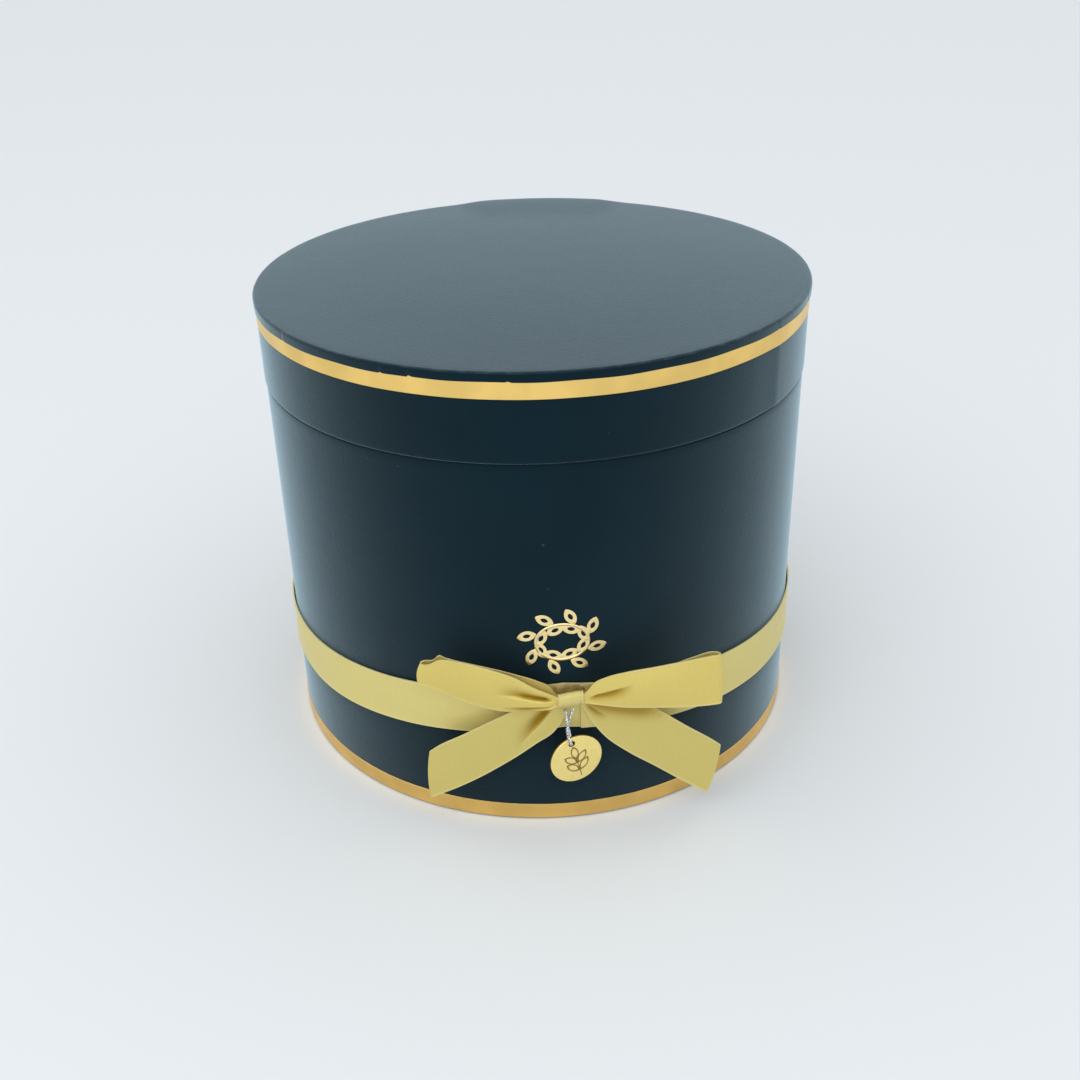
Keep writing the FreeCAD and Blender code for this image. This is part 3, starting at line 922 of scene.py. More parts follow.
        def uneven(r: np.ndarray, z: np.ndarray, angle: np.ndarray) -> Shape:
            """Follows the wall, with wavering heights."""
            r, z = lap(r, z, angle)
            return r, z + self.foil_waver * ripple(angle, 17) * ripple(angle, 5, 70)
        return turned(name, outline, uneven)

    def stripes(self) -> None:
        """Foil stripes of the lid and the base."""
        top = self.height - self.edge_band
        low, high = top - self.lid_stripe_height, top + self.foil_tuck
        lid = self.stripe("lid_foil", self.lid_radius, low, high, self.lid_seam)
        settle(lid, Body.LID, FOIL, "lid_stripe")
        low, high = 2 * self.paper, self.paper + self.base_stripe_height
        base = self.stripe("base_foil_ring", self.body_radius, low, high, self.body_seam)
        settle(base, Body.BOX, BASE_FOIL_PAINTED_REFLECTION, "base_stripe")

    def pleat_angles(self) -> list[float]:
        """Places where the turned-down edge of the top paper is pleated.

        Returns:
            Their angles, rising from 0 to 360.
        """
        chance = random.Random(11)
        gap = self.hidden_span / self.hidden_pleats
        places = [index + chance.uniform(0.15, 0.85) for index in range(self.hidden_pleats)]
        hidden = [self.hidden_from + gap * place for place in places]
        return sorted([angle % 360 for angle in self.seen_pleats] + hidden)

    def pleated(self) -> Form:
        """Shape of the top paper: pleats at its edge, an uneven hem and a slight lift at the back.

        Returns:
            The form.
        """
        angles = np.array(self.pleat_angles())
        chance = random.Random(5)
        drops = np.array([chance.uniform(-0.22, 0.18) for _ in angles])
        depths = np.array([chance.uniform(0.5, 1.0) for _ in angles]) * self.pleat_depth
        gaps = (np.roll(angles, -1) - angles) % 360
        rim = self.lid_radius

        def form(radius: np.ndarray, height: np.ndarray, angle: np.ndarray) -> Shape:
            """Swells the edge between pleats, then moves the hem and the top up and down.

            Args:
                radius: Radii.
                height: Heights.
                angle: Angles.

            Returns:
                The new radii and heights.
            """
            index = np.searchsorted(angles, angle, side="right") - 1
            past = (angle - angles[index]) % 360
            swell = depths[index] * (1 - past / gaps[index]) * step(past, 0, 0.5)
            hem = step(self.height - height, 1.6, 2.6) * step(radius, rim - 0.3, rim)
            notch = self.hem_notch * hump(past, 0.25, 0.35)
            ragged = self.hem_waver * ripple(angle, 23) + drops[index] * step(past, 0, 0.6)
            flat = self.top_waver * ripple(angle, 2, 30) * step(radius, *self.waver_rings)
            back = np.abs((angle % 360) - self.lift_angle)
            bulge = self.lift * (1 - step(back, *self.lift_spread)) * step(radius, *self.lift_rings)
            high = step(height, self.height - 1.4, self.height - 0.2)
            level = height + hem * (ragged + notch) + (bulge + flat) * (0.35 + 0.65 * high)
            return radius + swell * step(radius, rim - 0.8, rim + 0.5), level
        return form

    def top_paper(self) -> None:
        """Paper of the lid's top with its rounded edge turned down over the rim."""
        rim, edge = self.lid_radius, self.lid_radius + self.edge_build
        foil_top, under = self.height - self.edge_band, self.height - self.paper
        low = foil_top - self.hem_lap
        outline = [(radius, under) for radius in self.top_rings]
        outline += [(rim - 0.2, under), (rim, under - 0.3), (rim + 0.03, foil_top + 0.5)]
        outline += [(rim + self.hem_gap, foil_top + 0.25), (rim + self.hem_gap, low)]
        outline += [(edge - self.hem_round, low), (edge, low + self.hem_round), (edge, low + 0.7)]
        outline += corner(edge - self.edge_round, self.height - self.edge_round, self.edge_round, 0, 8)
        outline += [(radius, self.height) for radius in reversed(self.top_rings)]
        piece = turned("lid_top_paper", outline, self.pleated(), self.top_steps)
        settle(piece, Body.LID, LID_PAPER_WEAR_AND_PAINTED_SHEEN, "lid_top_wrap")

    def dress_boards(self) -> None:
        """Finishes of the plain boards and linings."""
        for node in ("body_tube", "base_board", "neck_sleeve", "lid_rim", "lid_board"):
            BOARD.dress(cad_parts[node])
        for node in ("base_paper", "neck_wrap", "base_lining", "lid_lining"):
            PAPER.dress(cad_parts[node])

    def build(self) -> None:
        """Makes the shell's pieces."""
        self.body_wrap()
        self.lid_wrap()
        self.stripes()
        self.top_paper()
        self.dress_boards()


def leaf_corners(length: float, width: float, count: int = 12) -> np.ndarray:
    """Outline of a pointed leaf between two arcs, along x, in the xz plane.

    Args:
        length: Its length.
        width: Its width.
        count: Points along either side.

    Returns:
        Rows of x and z.
    """
    radius = (length ** 2 + width ** 2) / (4 * width)
    turn = math.asin(length / 2 / radius) * (2 * np.arange(count) / count - 1)
    side = np.stack([radius * np.sin(turn), radius * (np.cos(turn) - 1) + width / 2], axis=1)
    return np.concatenate([side, -side])


def line_leaf(
    name: str, length: float, width: float, line: float, thick: float, bevel: float,
) -> bpy.types.Object:
    """Leaf drawn as one line of foil, its stalk at the origin, its face towards -y.

    Args:
        name: Name of the piece.
        length: Length of the leaf.
        width: Width of the leaf.
        line: Width of the line.
        thick: Thickness of the foil.
        bevel: Bevel of its front edges.

    Returns:
        The leaf.
    """
    inset = line * length / width
    shoulder = thick - bevel
    profile = ((0, 0), (0, shoulder), (bevel, thick), (line - bevel, thick), (line, shoulder), (line, 0))
    rings = []
    for cut, depth in profile:
        scale = cut / line
        flat = leaf_corners(length - 2 * scale * inset, width - 2 * scale * line)
        rings.append(np.stack([flat[:, 0] + length / 2, np.full(len(flat), -depth), flat[:, 1]], axis=1))
    points = np.stack(rings)
    return solid(name, points, tube_faces(*points.shape[:2]))


@dataclass
class Wreath:
    """Foil motif on the front: a wreath of line leaves on an oval stem."""

    width: float = 33.0
    height: float = 28.6
    middle: float = 83.2
    line: float = 1.25
    leaf_length: float = 7.4
    leaf_width: float = 4.2
    leaf_count: int = 16
    tilt: float = 35.0
    stem: float = 1.0
    wall: float = 108.95
    foil: float = 0.12
    bevel: float = 0.03

    def sizes(self) -> dict[str, float | int]:
        """Sizes for the tree, in metres and radians.

        Returns:
            Each size by its name.
        """
        lean = math.radians(self.tilt)
        reach = (self.leaf_length + self.line) * math.sin(lean) + self.leaf_width / 2 * math.cos(lean)
        return {
            "Half Width": (self.width / 2 - reach) * MM, "Half Height": (self.height / 2 - reach) * MM,
            "Leaf Count": self.leaf_count, "Lean": lean, "Stalk": self.line * MM,
            "Stem Width": self.stem * MM, "Foil": self.foil * MM, "Wall Radius": self.wall * MM,
            "Middle Height": self.middle * MM,
        }

    def leaves(self, forge: NodeForge, leaf: bpy.types.Object) -> bpy.types.NodeSocket:
        """Leaves along the oval that lean out and in by turns.

        Args:
            forge: The tree.
            leaf: The leaf to set.

        Returns:
            Their geometry.
        """
        board, given = forge.board, forge.inputs
        index = board.out("GeometryNodeInputIndex")
        turn = board.times(board.plus(index, 0.5), 2 * math.pi)
        turn = board.math("DIVIDE", turn, given["Leaf Count"])
        cosine, sine = board.math("COSINE", turn), board.math("SINE", turn)
        x, z = board.times(cosine, given["Half Width"]), board.times(sine, given["Half Height"])
        line = board.out("GeometryNodeMeshLine", {"Count": given["Leaf Count"]})
        spots = board.out("GeometryNodeSetPosition", {0: line, "Position": board.xyz(X=x, Z=z)})
        rise = board.times(cosine, given["Half Height"])
        run = board.times(sine, board.times(given["Half Width"], -1.0))
        side = board.math("SUBTRACT", board.times(board.math("MODULO", index, 2.0), 2.0), 1.0)
        heading = board.plus(board.math("ARCTAN2", rise, run), board.times(side, given["Lean"]))
        source = board.add("GeometryNodeObjectInfo", {"Object": leaf}).outputs["Geometry"]
        stalk = board.xyz(X=given["Stalk"])
        moved = board.out("GeometryNodeTransform", {0: source, "Translation": stalk})
        inputs = {"Points": spots, "Instance": moved, "Rotation": board.xyz(Y=board.times(heading, -1.0))}
        return board.out("GeometryNodeInstanceOnPoints", inputs)

    def oval(self, forge: NodeForge) -> bpy.types.NodeSocket:
        """Flat stem along the oval.

        Args:
            forge: The tree.

        Returns:
            Its geometry.
        """
        board, given = forge.board, forge.inputs
        inputs = {"Resolution": 96, "Radius": 1.0}
        circle = board.out("GeometryNodeCurvePrimitiveCircle", inputs, mode="RADIUS")
        scale = board.xyz(X=given["Half Width"], Y=given["Half Height"], Z=1.0)
        inputs = {0: circle, "Scale": scale, "Rotation": (math.pi / 2, 0, 0)}
        upright = board.out("GeometryNodeTransform", inputs)
        inputs = {"Width": given["Stem Width"], "Height": given["Foil"]}
        bar = board.out("GeometryNodeCurvePrimitiveQuadrilateral", inputs)
        stem = board.out("GeometryNodeCurveToMesh", {0: upright, 1: bar})
        out = board.xyz(Y=board.times(given["Foil"], -0.5))
        return board.out("GeometryNodeTransform", {0: stem, "Translation": out})

    def forge(self, leaf: bpy.types.Object) -> NodeForge:
        """Tree that sets leaves along an oval, adds the stem and lays both on the round wall.

        Args:
            leaf: The leaf to set.

        Returns:
            The tree.
        """
        forge = NodeForge("wreath_on_wall", self.sizes())
        board, given = forge.board, forge.inputs
        both = forge.join(self.oval(forge), self.leaves(forge, leaf))
        real = board.out("GeometryNodeRealizeInstances", {0: both})
        at = board.split(board.out("GeometryNodeInputPosition"))
        angle = board.math("DIVIDE", at["X"], given["Wall Radius"])
        radius = board.math("SUBTRACT", given["Wall Radius"], at["Y"])
        bent = board.xyz(
            X=board.times(radius, board.math("SINE", angle)),
            Y=board.times(board.times(radius, board.math("COSINE", angle)), -1.0),
            Z=board.plus(at["Z"], given["Middle Height"]),
        )
        forge.finish(board.out("GeometryNodeSetPosition", {0: real, "Position": bent}), MOTIF_FOIL)
        return forge

    def build(self) -> None:
        """Makes the wreath."""
        sizes = (self.leaf_length, self.leaf_width, self.line, self.foil, self.bevel)
        leaf = line_leaf("wreath_leaf", *sizes)
        piece = self.forge(leaf).run(link("foil_wreath", bpy.data.meshes.new("foil_wreath")))
        discard(leaf)
        settle(piece, Body.BOX, MOTIF_FOIL, "front_motif")


@dataclass
class Strip:
    """A ribbon along a line: middle, half width, direction across and waves at each place.

    shear moves its points, and a painted shade is kept on them: 1 at the darkest, in the bottom of a pleat.
    """

    middle: np.ndarray
    half: np.ndarray
    across: np.ndarray
    wave: np.ndarray
    closed: bool = False
    shear: np.ndarray | float = 0.0
    painted_shade: np.ndarray | None = None
    thick: float = 0.3
    bead: float = 0.12
    bead_span: tuple[float, float] = (0.90, 0.97)
    map_half: float = 10.0

    def along(self, points: np.ndarray) -> np.ndarray:
        """Way that the ribbon runs.

        Args:
            points: Points by row.

        Returns:
            A direction for each point.
        """
        if self.closed:
            return np.roll(points, -1, axis=0) - np.roll(points, 1, axis=0)
        return np.gradient(points, axis=0)

    def unroll(self, mesh: bpy.types.Mesh, share: np.ndarray) -> None:
        """Gives the ribbon a UV map along and across it, in metres.

        Args:
            mesh: Mesh of the ribbon.
            share: Shares of the half width across a row.
        """
        run = np.concatenate([[0], np.cumsum(np.linalg.norm(np.diff(self.middle, axis=0), axis=1))])
        width = np.concatenate([share, share[::-1]]) * self.map_half
        table = np.stack([np.repeat(run, len(width)), np.tile(width, len(run))], axis=1) * MM
        corners = np.zeros(len(mesh.loops), np.int32)
        mesh.loops.foreach_get("vertex_index", corners)
        mesh.uv_layers.new(name="ribbon").data.foreach_set("uv", table[corners].ravel())

    def piece(self, name: str) -> bpy.types.Object:
        """Closed piece of the ribbon with a bead along its edges.

        Args:
            name: Name of the piece.

        Returns:
            The piece.
        """
        rows, columns = self.wave.shape
        share = np.linspace(-1, 1, columns)
        out = unit(np.cross(unit(self.along(self.middle)), self.across))
        sheet = self.middle[:, None] + self.across[:, None] * (self.half[:, None] * share)[..., None]
        sheet = sheet + out[:, None] * self.wave[..., None] + self.shear
        normal = unit(np.cross(self.along(sheet), np.gradient(sheet, axis=1)))
        thick = (self.thick / 2 + self.bead * step(np.abs(share), *self.bead_span))[None, :, None]
        loop = np.concatenate([sheet + normal * thick, (sheet - normal * thick)[:, ::-1]], axis=1)
        faces = tube_faces(rows, 2 * columns) if self.closed else capped_faces(rows, columns)
        mesh = mesh_of(name, loop, faces)
        self.unroll(mesh, share)
        # The painted shade is kept as the fold attribute that the satin reads.
        if self.painted_shade is not None:
            depth = np.concatenate([self.painted_shade, self.painted_shade[:, ::-1]], axis=1)
            mesh.attributes.new("fold", "FLOAT", "POINT").data.foreach_set("value", depth.ravel())
        smooth(mesh, 60, False)
        return link(name, mesh)


def through(places: np.ndarray, values: np.ndarray, at: np.ndarray) -> np.ndarray:
    """Smooth curve through values at given places.

    Args:
        places: Rising places of the values.
        values: One row for each place.
        at: Places to read it at.

    Returns:
        One row for each place read.
    """
    values = np.asarray(values, float).reshape(len(places), -1)
    gaps = np.diff(places)[:, None]
    slopes = np.diff(values, axis=0) / gaps
    inner = (slopes[:-1] * gaps[1:] + slopes[1:] * gaps[:-1]) / (gaps[:-1] + gaps[1:])
    tangents = np.concatenate([slopes[:1], inner, slopes[-1:]])
    index = np.clip(np.searchsorted(places, at, side="right") - 1, 0, len(places) - 2)
    wide = gaps[index]
    t = (at[:, None] - places[index][:, None]) / wide
    first = (1 + 2 * t) * (1 - t) ** 2 * values[index] + t * (1 - t) ** 2 * wide * tangents[index]
    second = t * t * (3 - 2 * t) * values[index + 1] + t * t * (t - 1) * wide * tangents[index + 1]
    return first + second


@dataclass(frozen=True)
class Station:
    """Place along a ribbon of the bow: its edges as (reach, height) from the knot, and its depth.

    Its low edge lies back towards the box by the lean.
    """

    top: tuple[float, float]
    low: tuple[float, float]
    y: float
    lean: float = 0.0


@dataclass(frozen=True)
class Pleat:
    """Fold that runs out of the knot and dies away.

    Places across are shares of the half width, and tone is how much painted shade its valley gets.
    """

    start: float
    end: float
    length: float
    depth: float
    above: float
    below: float
    tone: float
    peak: float
    root: float = 4.5
    opening: tuple[float, float] = (6.0, 9.5)

    def valley(self, reach: np.ndarray, share: np.ndarray) -> np.ndarray:
        """Share of the fold's depth at a place.

        Args:
            reach: Distance from the middle of the knot.
            share: Share of the half width.

        Returns:
            The share of the depth.
        """
        run = np.clip((reach - self.root) / self.length, 0, 1)
        offset = share - (self.start + (self.end - self.start) * run)
        width = np.where(offset > 0, self.above, self.below)
        fade = step(reach, *self.opening) * (1 - step(run, self.peak, 1))
        return fade * np.exp(-((offset / width) ** 2))


Pleats = dict[Side, tuple[Pleat, ...]]
LOOP_FRONT = {
    Side.LEFT: (
        Station((5.2, 2.3), (5.2, -2.0), -115.6),
        Station((8.5, 4.6), (8.5, -3.2), -116.4, 0.3),
        Station((13.0, 7.1), (13.0, -3.8), -116.6, 0.8),
        Station((20.0, 11.8), (20.0, -4.4), -116.2, 1.5),
        Station((30.0, 16.0), (30.0, -3.6), -115.2, 2.8),
        Station((40.0, 18.9), (40.0, -0.1), -113.8, 3.0),
        Station((47.5, 19.6), (48.0, 5.0), -112.4, 1.8),
        Station((52.0, 17.6), (53.3, 8.4), -111.6, 0.8),
    ),
    Side.RIGHT: (
        Station((5.2, 3.0), (5.2, -1.2), -115.6),
        Station((9.0, 8.4), (9.0, -1.4), -116.7),
        Station((13.0, 10.6), (13.0, -2.0), -117.3),
        Station((20.0, 12.4), (20.0, -3.2), -117.7),
        Station((31.0, 13.9), (31.0, -4.2), -117.8),
        Station((43.0, 15.5), (43.0, -5.2), -117.3),
        Station((53.2, 16.4), (54.6, -5.6), -116.0),
    ),
}
LOOP_BACK = {
    Side.LEFT: (
        Station((5.2, 2.0), (5.2, -1.9), -113.7),
        Station((7.5, 5.5), (7.5, -2.8), -113.6),
        Station((12.0, 8.4), (12.0, -3.4), -113.5),
        Station((20.0, 11.7), (20.0, -3.8), -113.1),
        Station((30.0, 15.1), (30.0, -3.8), -112.5, 2.4),
        Station((40.0, 17.7), (40.0, -0.6), -111.2, 2.6),
        Station((47.5, 19.2), (48.5, 4.7), -109.9, 1.6),
        Station((52.0, 18.0), (53.5, 8.0), -109.2, 0.8),
    ),
    Side.RIGHT: (
        Station((5.2, 2.2), (5.2, -1.5), -114.8),
        Station((9.0, 6.2), (9.0, -2.5), -115.2),
        Station((13.0, 8.0), (13.0, -2.8), -115.3),
        Station((20.0, 10.0), (20.0, -3.8), -115.2),
        Station((30.0, 11.6), (30.0, -4.9), -115.0),
        Station((37.0, 12.4), (37.0, -5.5), -114.5),
        Station((46.0, 14.8), (45.5, -6.0), -113.7),
        Station((53.2, 16.0), (54.6, -6.0), -113.0),
    ),
}
TAILS = {
    Side.LEFT: (
        Station((3.5, 1.5), (0.7, -2.2), -113.1),
        Station((7.0, 1.5), (2.3, -8.7), -112.9),
        Station((14.0, -1.5), (6.3, -15.9), -112.4),
        Station((22.9, -6.3), (12.5, -21.0), -111.8),
        Station((31.0, -10.8), (20.0, -27.1), -111.0),
        Station((42.0, -17.5), (31.0, -35.3), -109.4),
        Station((53.7, -25.7), (54.6, -48.2), -106.6),
    ),
    Side.RIGHT: (
        Station((3.5, 1.5), (2.0, -2.2), -113.1),
        Station((8.0, 2.0), (4.5, -5.0), -112.9),
        Station((15.0, 1.5), (8.5, -12.8), -112.5),
        Station((24.0, -2.5), (13.5, -20.2), -112.2),
        Station((34.0, -9.8), (22.0, -28.2), -111.9),
        Station((46.0, -19.5), (34.0, -37.5), -111.2),
        Station((58.4, -29.5), (53.8, -52.6), -110.2),
    ),
}
# The tone of each pleat is painted shade in its valley.
LOOP_PLEATS = {
    Side.LEFT: (
        Pleat(0.04, -0.09, 25.0, 1.9, 0.42, 0.06, 1.0, 0.35),
        Pleat(-0.58, -0.82, 22.0, 1.4, 0.06, 0.32, 1.0, 0.45),
    ),
    Side.RIGHT: (
        Pleat(-0.35, 0.31, 20.0, 0.9, 0.06, 0.42, 1.0, 0.5),
    ),
}
# The second right pleat is mostly a painted shadow of the right loop's lower edge on the tail.
TAIL_PLEATS = {
    Side.LEFT: (
        Pleat(0.17, -0.79, 21.0, 2.0, 0.42, 0.06, 1.0, 0.3),
    ),
    Side.RIGHT: (
        Pleat(-0.62, -0.20, 13.0, 0.8, 0.08, 0.22, 0.9, 0.4),
        Pleat(-0.32, 1.15, 28.0, 0.5, 0.60, 0.36, 0.8, 0.6),
    ),
}


@dataclass
class Ribbons:
    """Ribbon band and bow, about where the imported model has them."""

    ribbon_width: float = 20.0
    loops_length: float = 222.0
    tails_length: float = 138.0
    knot_flat: tuple[float, float] = (10.1, 18.6)
    band_z: float = 45.9
    band_lift: float = 9.6
    band_spread: float = 62.0
    band_radius: float = 109.45
    band_end: float = 3.3
    band_lap: float = 7.2
    band_curl: float = 0.3
    band_seat: float = 0.2
    lap_rise: float = 0.5
    band_build: float = 1.05
    band_steps: int = 720
    bow_x: float = 2.2
    knot_z: float = 61.3
    knot_y: float = -114.35
    knot_width: float = 9.2
    knot_height: float = 5.0
    knot_depth: float = 4.4
    knot_tilt: float = 0.13
    knot_lean: float = 28.0
    knot_crest: float = 122.0
    knot_square: float = 0.6
    knot_steps: int = 120
    waist_half: float = 1.35
    layer_pitch: float = 0.85
    fan_start: float = 5.2
    loop_reach: float = 50.0
    turn_angle: float = 55.0
    fold_depth: float = 2.2
    fold_bulge: float = 0.9
    crown: float = 1.1
    pitch: float = 0.6
    columns: int = 61
    glue_grid: tuple[int, int] = (48, 44)
    glue_lumps: int = 14

    @property
    def share(self) -> np.ndarray:
        """Shares of the half width across a ribbon of the bow."""
        return np.linspace(-1, 1, self.columns)

    def band_middle(self, angle: np.ndarray) -> np.ndarray:
        """Height of the middle of the band: it climbs straight to the bow from either side."""
        share = np.clip(np.abs((angle + 180) % 360 - 180) / self.band_spread, 0, 1)
        return self.band_z + self.band_lift * (1 - share) ** 1.25

    def band(self) -> None:
        """Ribbon once round the body, its outer end over its start at the front."""
        left = np.linspace(360 + self.band_lap, 0, self.band_steps) - self.band_lap
        angle = self.band_end - 360 + left + self.band_lap
        rise = self.lap_rise * (1 - step(left, 4, 24)) + 0.05
        rise += self.band_curl * (1 - step(left + self.band_lap, 0, 2.5))
        share = np.linspace(-1, 1, self.columns // 2)
        middle = around(self.band_radius + self.band_seat + rise, angle, self.band_middle(angle))
        wave = 0.10 * ripple(angle, 9)[:, None] * share + 0.06 * np.cos(share * math.pi)
        down = np.tile([0.0, 0.0, -1.0], (len(angle), 1))
        strip = Strip(middle, np.full(len(angle), self.ribbon_width / 2), down, np.abs(wave))
        piece = settle(strip.piece("satin_band"), Body.BOX, BAND_SATIN_PAINTED_SHEEN, "ribbon_band")

    def waist(self, layer: Layer, reach: float) -> Station:
        """Place of a layer inside the knot."""
        y = self.knot_y - (layer.value - 1.5) * self.layer_pitch
        return Station((reach, self.waist_half), (reach, -self.waist_half), y)

    def row(self, side: Side, station: Station, front: float = 1.0, fold: float = 0.0) -> list[float]:
        """Numbers of a station that are smoothed along a ribbon.

        Args:
            side: The side of the bow.
            station: The place.
            front: 1 on the front of a loop, 0 on its back.
            fold: 1 in the turn of a loop.

        Returns:
            The middle, half width and direction across, then front and fold.
        """
        ends = []
        for (reach, height), back in ((station.top, 0.0), (station.low, station.lean)):
            x = self.bow_x + side.value * reach
            ends.append(Vector((x, station.y + back, self.knot_z + height)))
        across = (ends[0] - ends[1]) / 2
        return [*((ends[0] + ends[1]) / 2), across.length, *across.normalized(), front, fold]

    def turn(self, side: Side) -> list[list[float]]:
        """Rows round the outer fold of a loop.

        Args:
            side: The side of the bow.

        Returns:
            The rows, from its back to its front.
        """
        back, front = LOOP_BACK[side][-1], LOOP_FRONT[side][-1]
        rows = []
        for angle in np.radians((-self.turn_angle, 0, self.turn_angle)):
            mix, out = (1 + math.sin(angle)) / 2, math.cos(angle)
            ends = []
            for near, far in ((back.top, front.top), (back.low, front.low)):
                reach = between(near[0], far[0], mix) + self.fold_depth * out
                ends.append((reach, between(near[1], far[1], mix)))
            depth, lean = between(back.y, front.y, mix), between(back.lean, front.lean, mix)
            rows.append(self.row(side, Station(*ends, depth, lean), mix, out))
        return rows

    def smoothed(self, rows: list[list[float]]) -> np.ndarray:
        """Smooth curves through rows.

        Args:
            rows: The rows.

        Returns:
            Rows on the curves, at an even pitch.
        """
        table = np.array(rows)
        gaps = np.linalg.norm(np.diff(table[:, :3], axis=0), axis=1)
        places = np.concatenate([[0], np.cumsum(gaps)])
        return through(places, table, np.linspace(0, places[-1], int(places[-1] / self.pitch)))

    def gathered(self, rows: np.ndarray, pleats: Pleats) -> tuple[np.ndarray, np.ndarray]:
        """Waves and painted shade of a ribbon whose pleats run out of the knot on either side.

        Args:
            rows: The smoothed rows.
            pleats: The pleats of either side.

        Returns:
            The waves in millimetres and the painted shade from 0 to 1, for each row and column.
        """
        x, front = rows[:, 0, None] - self.bow_x, rows[:, 7, None]
        wave, tone = np.zeros((2, len(rows), self.columns))
        for side in Side:
            beside = step(side.value * x, 0, 3) * np.clip(front, 0, 1)
            for pleat in pleats[side]:
                valley = beside * pleat.valley(np.abs(x), self.share)
                wave -= pleat.depth * valley
                # Painted shade, darkest in the bottom of each valley.
                tone = np.maximum(tone, pleat.tone * np.minimum(1.2 * valley, 1))
        return wave, tone

    def ribbon(self, name: str, rows: np.ndarray, pleats: Pleats, shear: np.ndarray) -> bpy.types.Object:
        """Piece of pleated ribbon along smoothed rows.

        Args:
            name: Name of the piece.
            rows: The smoothed rows.
            pleats: The pleats of either side.
            shear: Shift of each point.

        Returns:
            The piece.
        """
        wave, tone = self.gathered(rows, pleats)
        middle, half, across = rows[:, :3], rows[:, 3], unit(rows[:, 4:7])
        return Strip(middle, half, across, wave, shear=shear, painted_shade=tone).piece(name)

    def loops(self) -> None:
        """Both loops in one ribbon: back, left fold, front across the knot, right fold and back."""
        table: list[list[float]] = []
        for side in Side:
            layer = Layer.LEFT_BACK if side is Side.LEFT else Layer.RIGHT_BACK
            run = [self.row(side, self.waist(layer, -self.fan_start / 2), 0)]
            run += [self.row(side, station, 0) for station in LOOP_BACK[side]]
            run += self.turn(side)
            run += [self.row(side, station) for station in reversed(LOOP_FRONT[side])]
            run += [self.row(side, self.waist(Layer.FRONT, self.fan_start / 2))]
            table += run if side is Side.LEFT else list(reversed(run))
        rows, share = self.smoothed(table), self.share
        x, fold = rows[:, 0, None] - self.bow_x, np.clip(rows[:, 8, None], 0, 1)
        reach, front = np.abs(x), np.clip(rows[:, 7, None], 0, 1)
        swell = np.sin(math.pi * np.clip((reach - self.fan_start) / self.loop_reach, 0, 1)) * front
        ruffle = hump(reach, 47.7, 1.5) - 0.6 * hump(reach, 50.6, 1.4)
        shear = np.zeros((len(rows), self.columns, 3))
        shear[..., 0] = self.fold_bulge * np.sign(x) * fold * (1 - share ** 2)
        shear[..., 1] = self.crown * swell * (share ** 2 - 0.45)
        shear[..., 2] = (x < 0) * (1 - front) * ruffle * step(share, 0.6, 1.0)
        piece = self.ribbon("satin_loops", rows, LOOP_PLEATS, shear)
        settle(piece, Body.BOX, SATIN, "bow_loops")

    def tails(self) -> None:
        """Both tails in one ribbon through the back of the knot, cut slanting at the ends."""
        table = [self.row(Side.LEFT, station) for station in reversed(TAILS[Side.LEFT])]
        table += [self.row(Side.RIGHT, self.waist(Layer.TAILS, 0))]
        table += [self.row(Side.RIGHT, station) for station in TAILS[Side.RIGHT]]
        rows = self.smoothed(table)
        x = rows[:, 0, None] - self.bow_x
        shear = np.zeros((len(rows), self.columns, 3))
        shear[..., 0] = self.fold_bulge * np.sign(x) * step(np.abs(x), 46, 54) * (1 - self.share ** 2)
        piece = self.ribbon("satin_tails", rows, TAIL_PLEATS, shear)
        settle(piece, Body.BOX, TAIL_SATIN_PAINTED_SHADE, "bow_tails")

    def knot(self) -> None:
        """Short ribbon round the waist of the bow, gathered into ridges and a little tilted."""
        turn = np.linspace(0, 2 * math.pi, self.knot_steps, endpoint=False)[:, None]
        share, half, edge = self.share, self.knot_width / 2, math.radians(self.knot_crest)
        fine, broad = np.cos(8 * math.pi * share + 2 * turn), np.cos(2.6 * math.pi * share + 2)
        gathers = 0.02 * fine + 0.03 * broad
        crest = 0.25 + 0.75 * hump(np.sin(turn), 1, 0.45)
        bead = 0.18 * hump(turn, edge, 0.12) * (1 + 0.5 * np.cos(9 * math.pi * share))
        swell = 0.2 * (1 - share ** 2) + gathers * crest - 0.1 + bead
        squared = self.knot_square
        cosine, sine = (np.sign(wave) * np.abs(wave) ** squared for wave in (np.cos(turn), np.sin(turn)))
        depth, height = (self.knot_depth / 2 + swell) * cosine, (self.knot_height / 2 + swell) * sine
        lean = math.radians(self.knot_lean)
        x = half * share + 0.2 * np.sin(turn)
        y = self.knot_y + depth * math.cos(lean) + height * math.sin(lean)
        z = self.knot_z + height * math.cos(lean) - depth * math.sin(lean) + self.knot_tilt * x
        sheet = np.stack([self.bow_x + x, y, z], axis=-1)
        middle = sheet[:, self.columns // 2]
        across = np.tile([1.0, 0.0, 0.0], (len(turn), 1))
        flat = middle[:, None] + across[:, None] * (half * share[None, :])[..., None]
        # Painted shade in the valleys of the gathers, none on the crest.
        painted_shade = np.clip(-2 * gathers, 0, 1) * (1 - hump(turn, edge, 0.2))
        strip = Strip(
            middle, np.full(len(turn), half), across, np.zeros((len(turn), self.columns)),
            closed=True, shear=sheet - flat, painted_shade=painted_shade,
        )
        piece = settle(strip.piece("satin_knot"), Body.BOX, KNOT_SATIN_PAINTED_SHADE, "bow_knot")

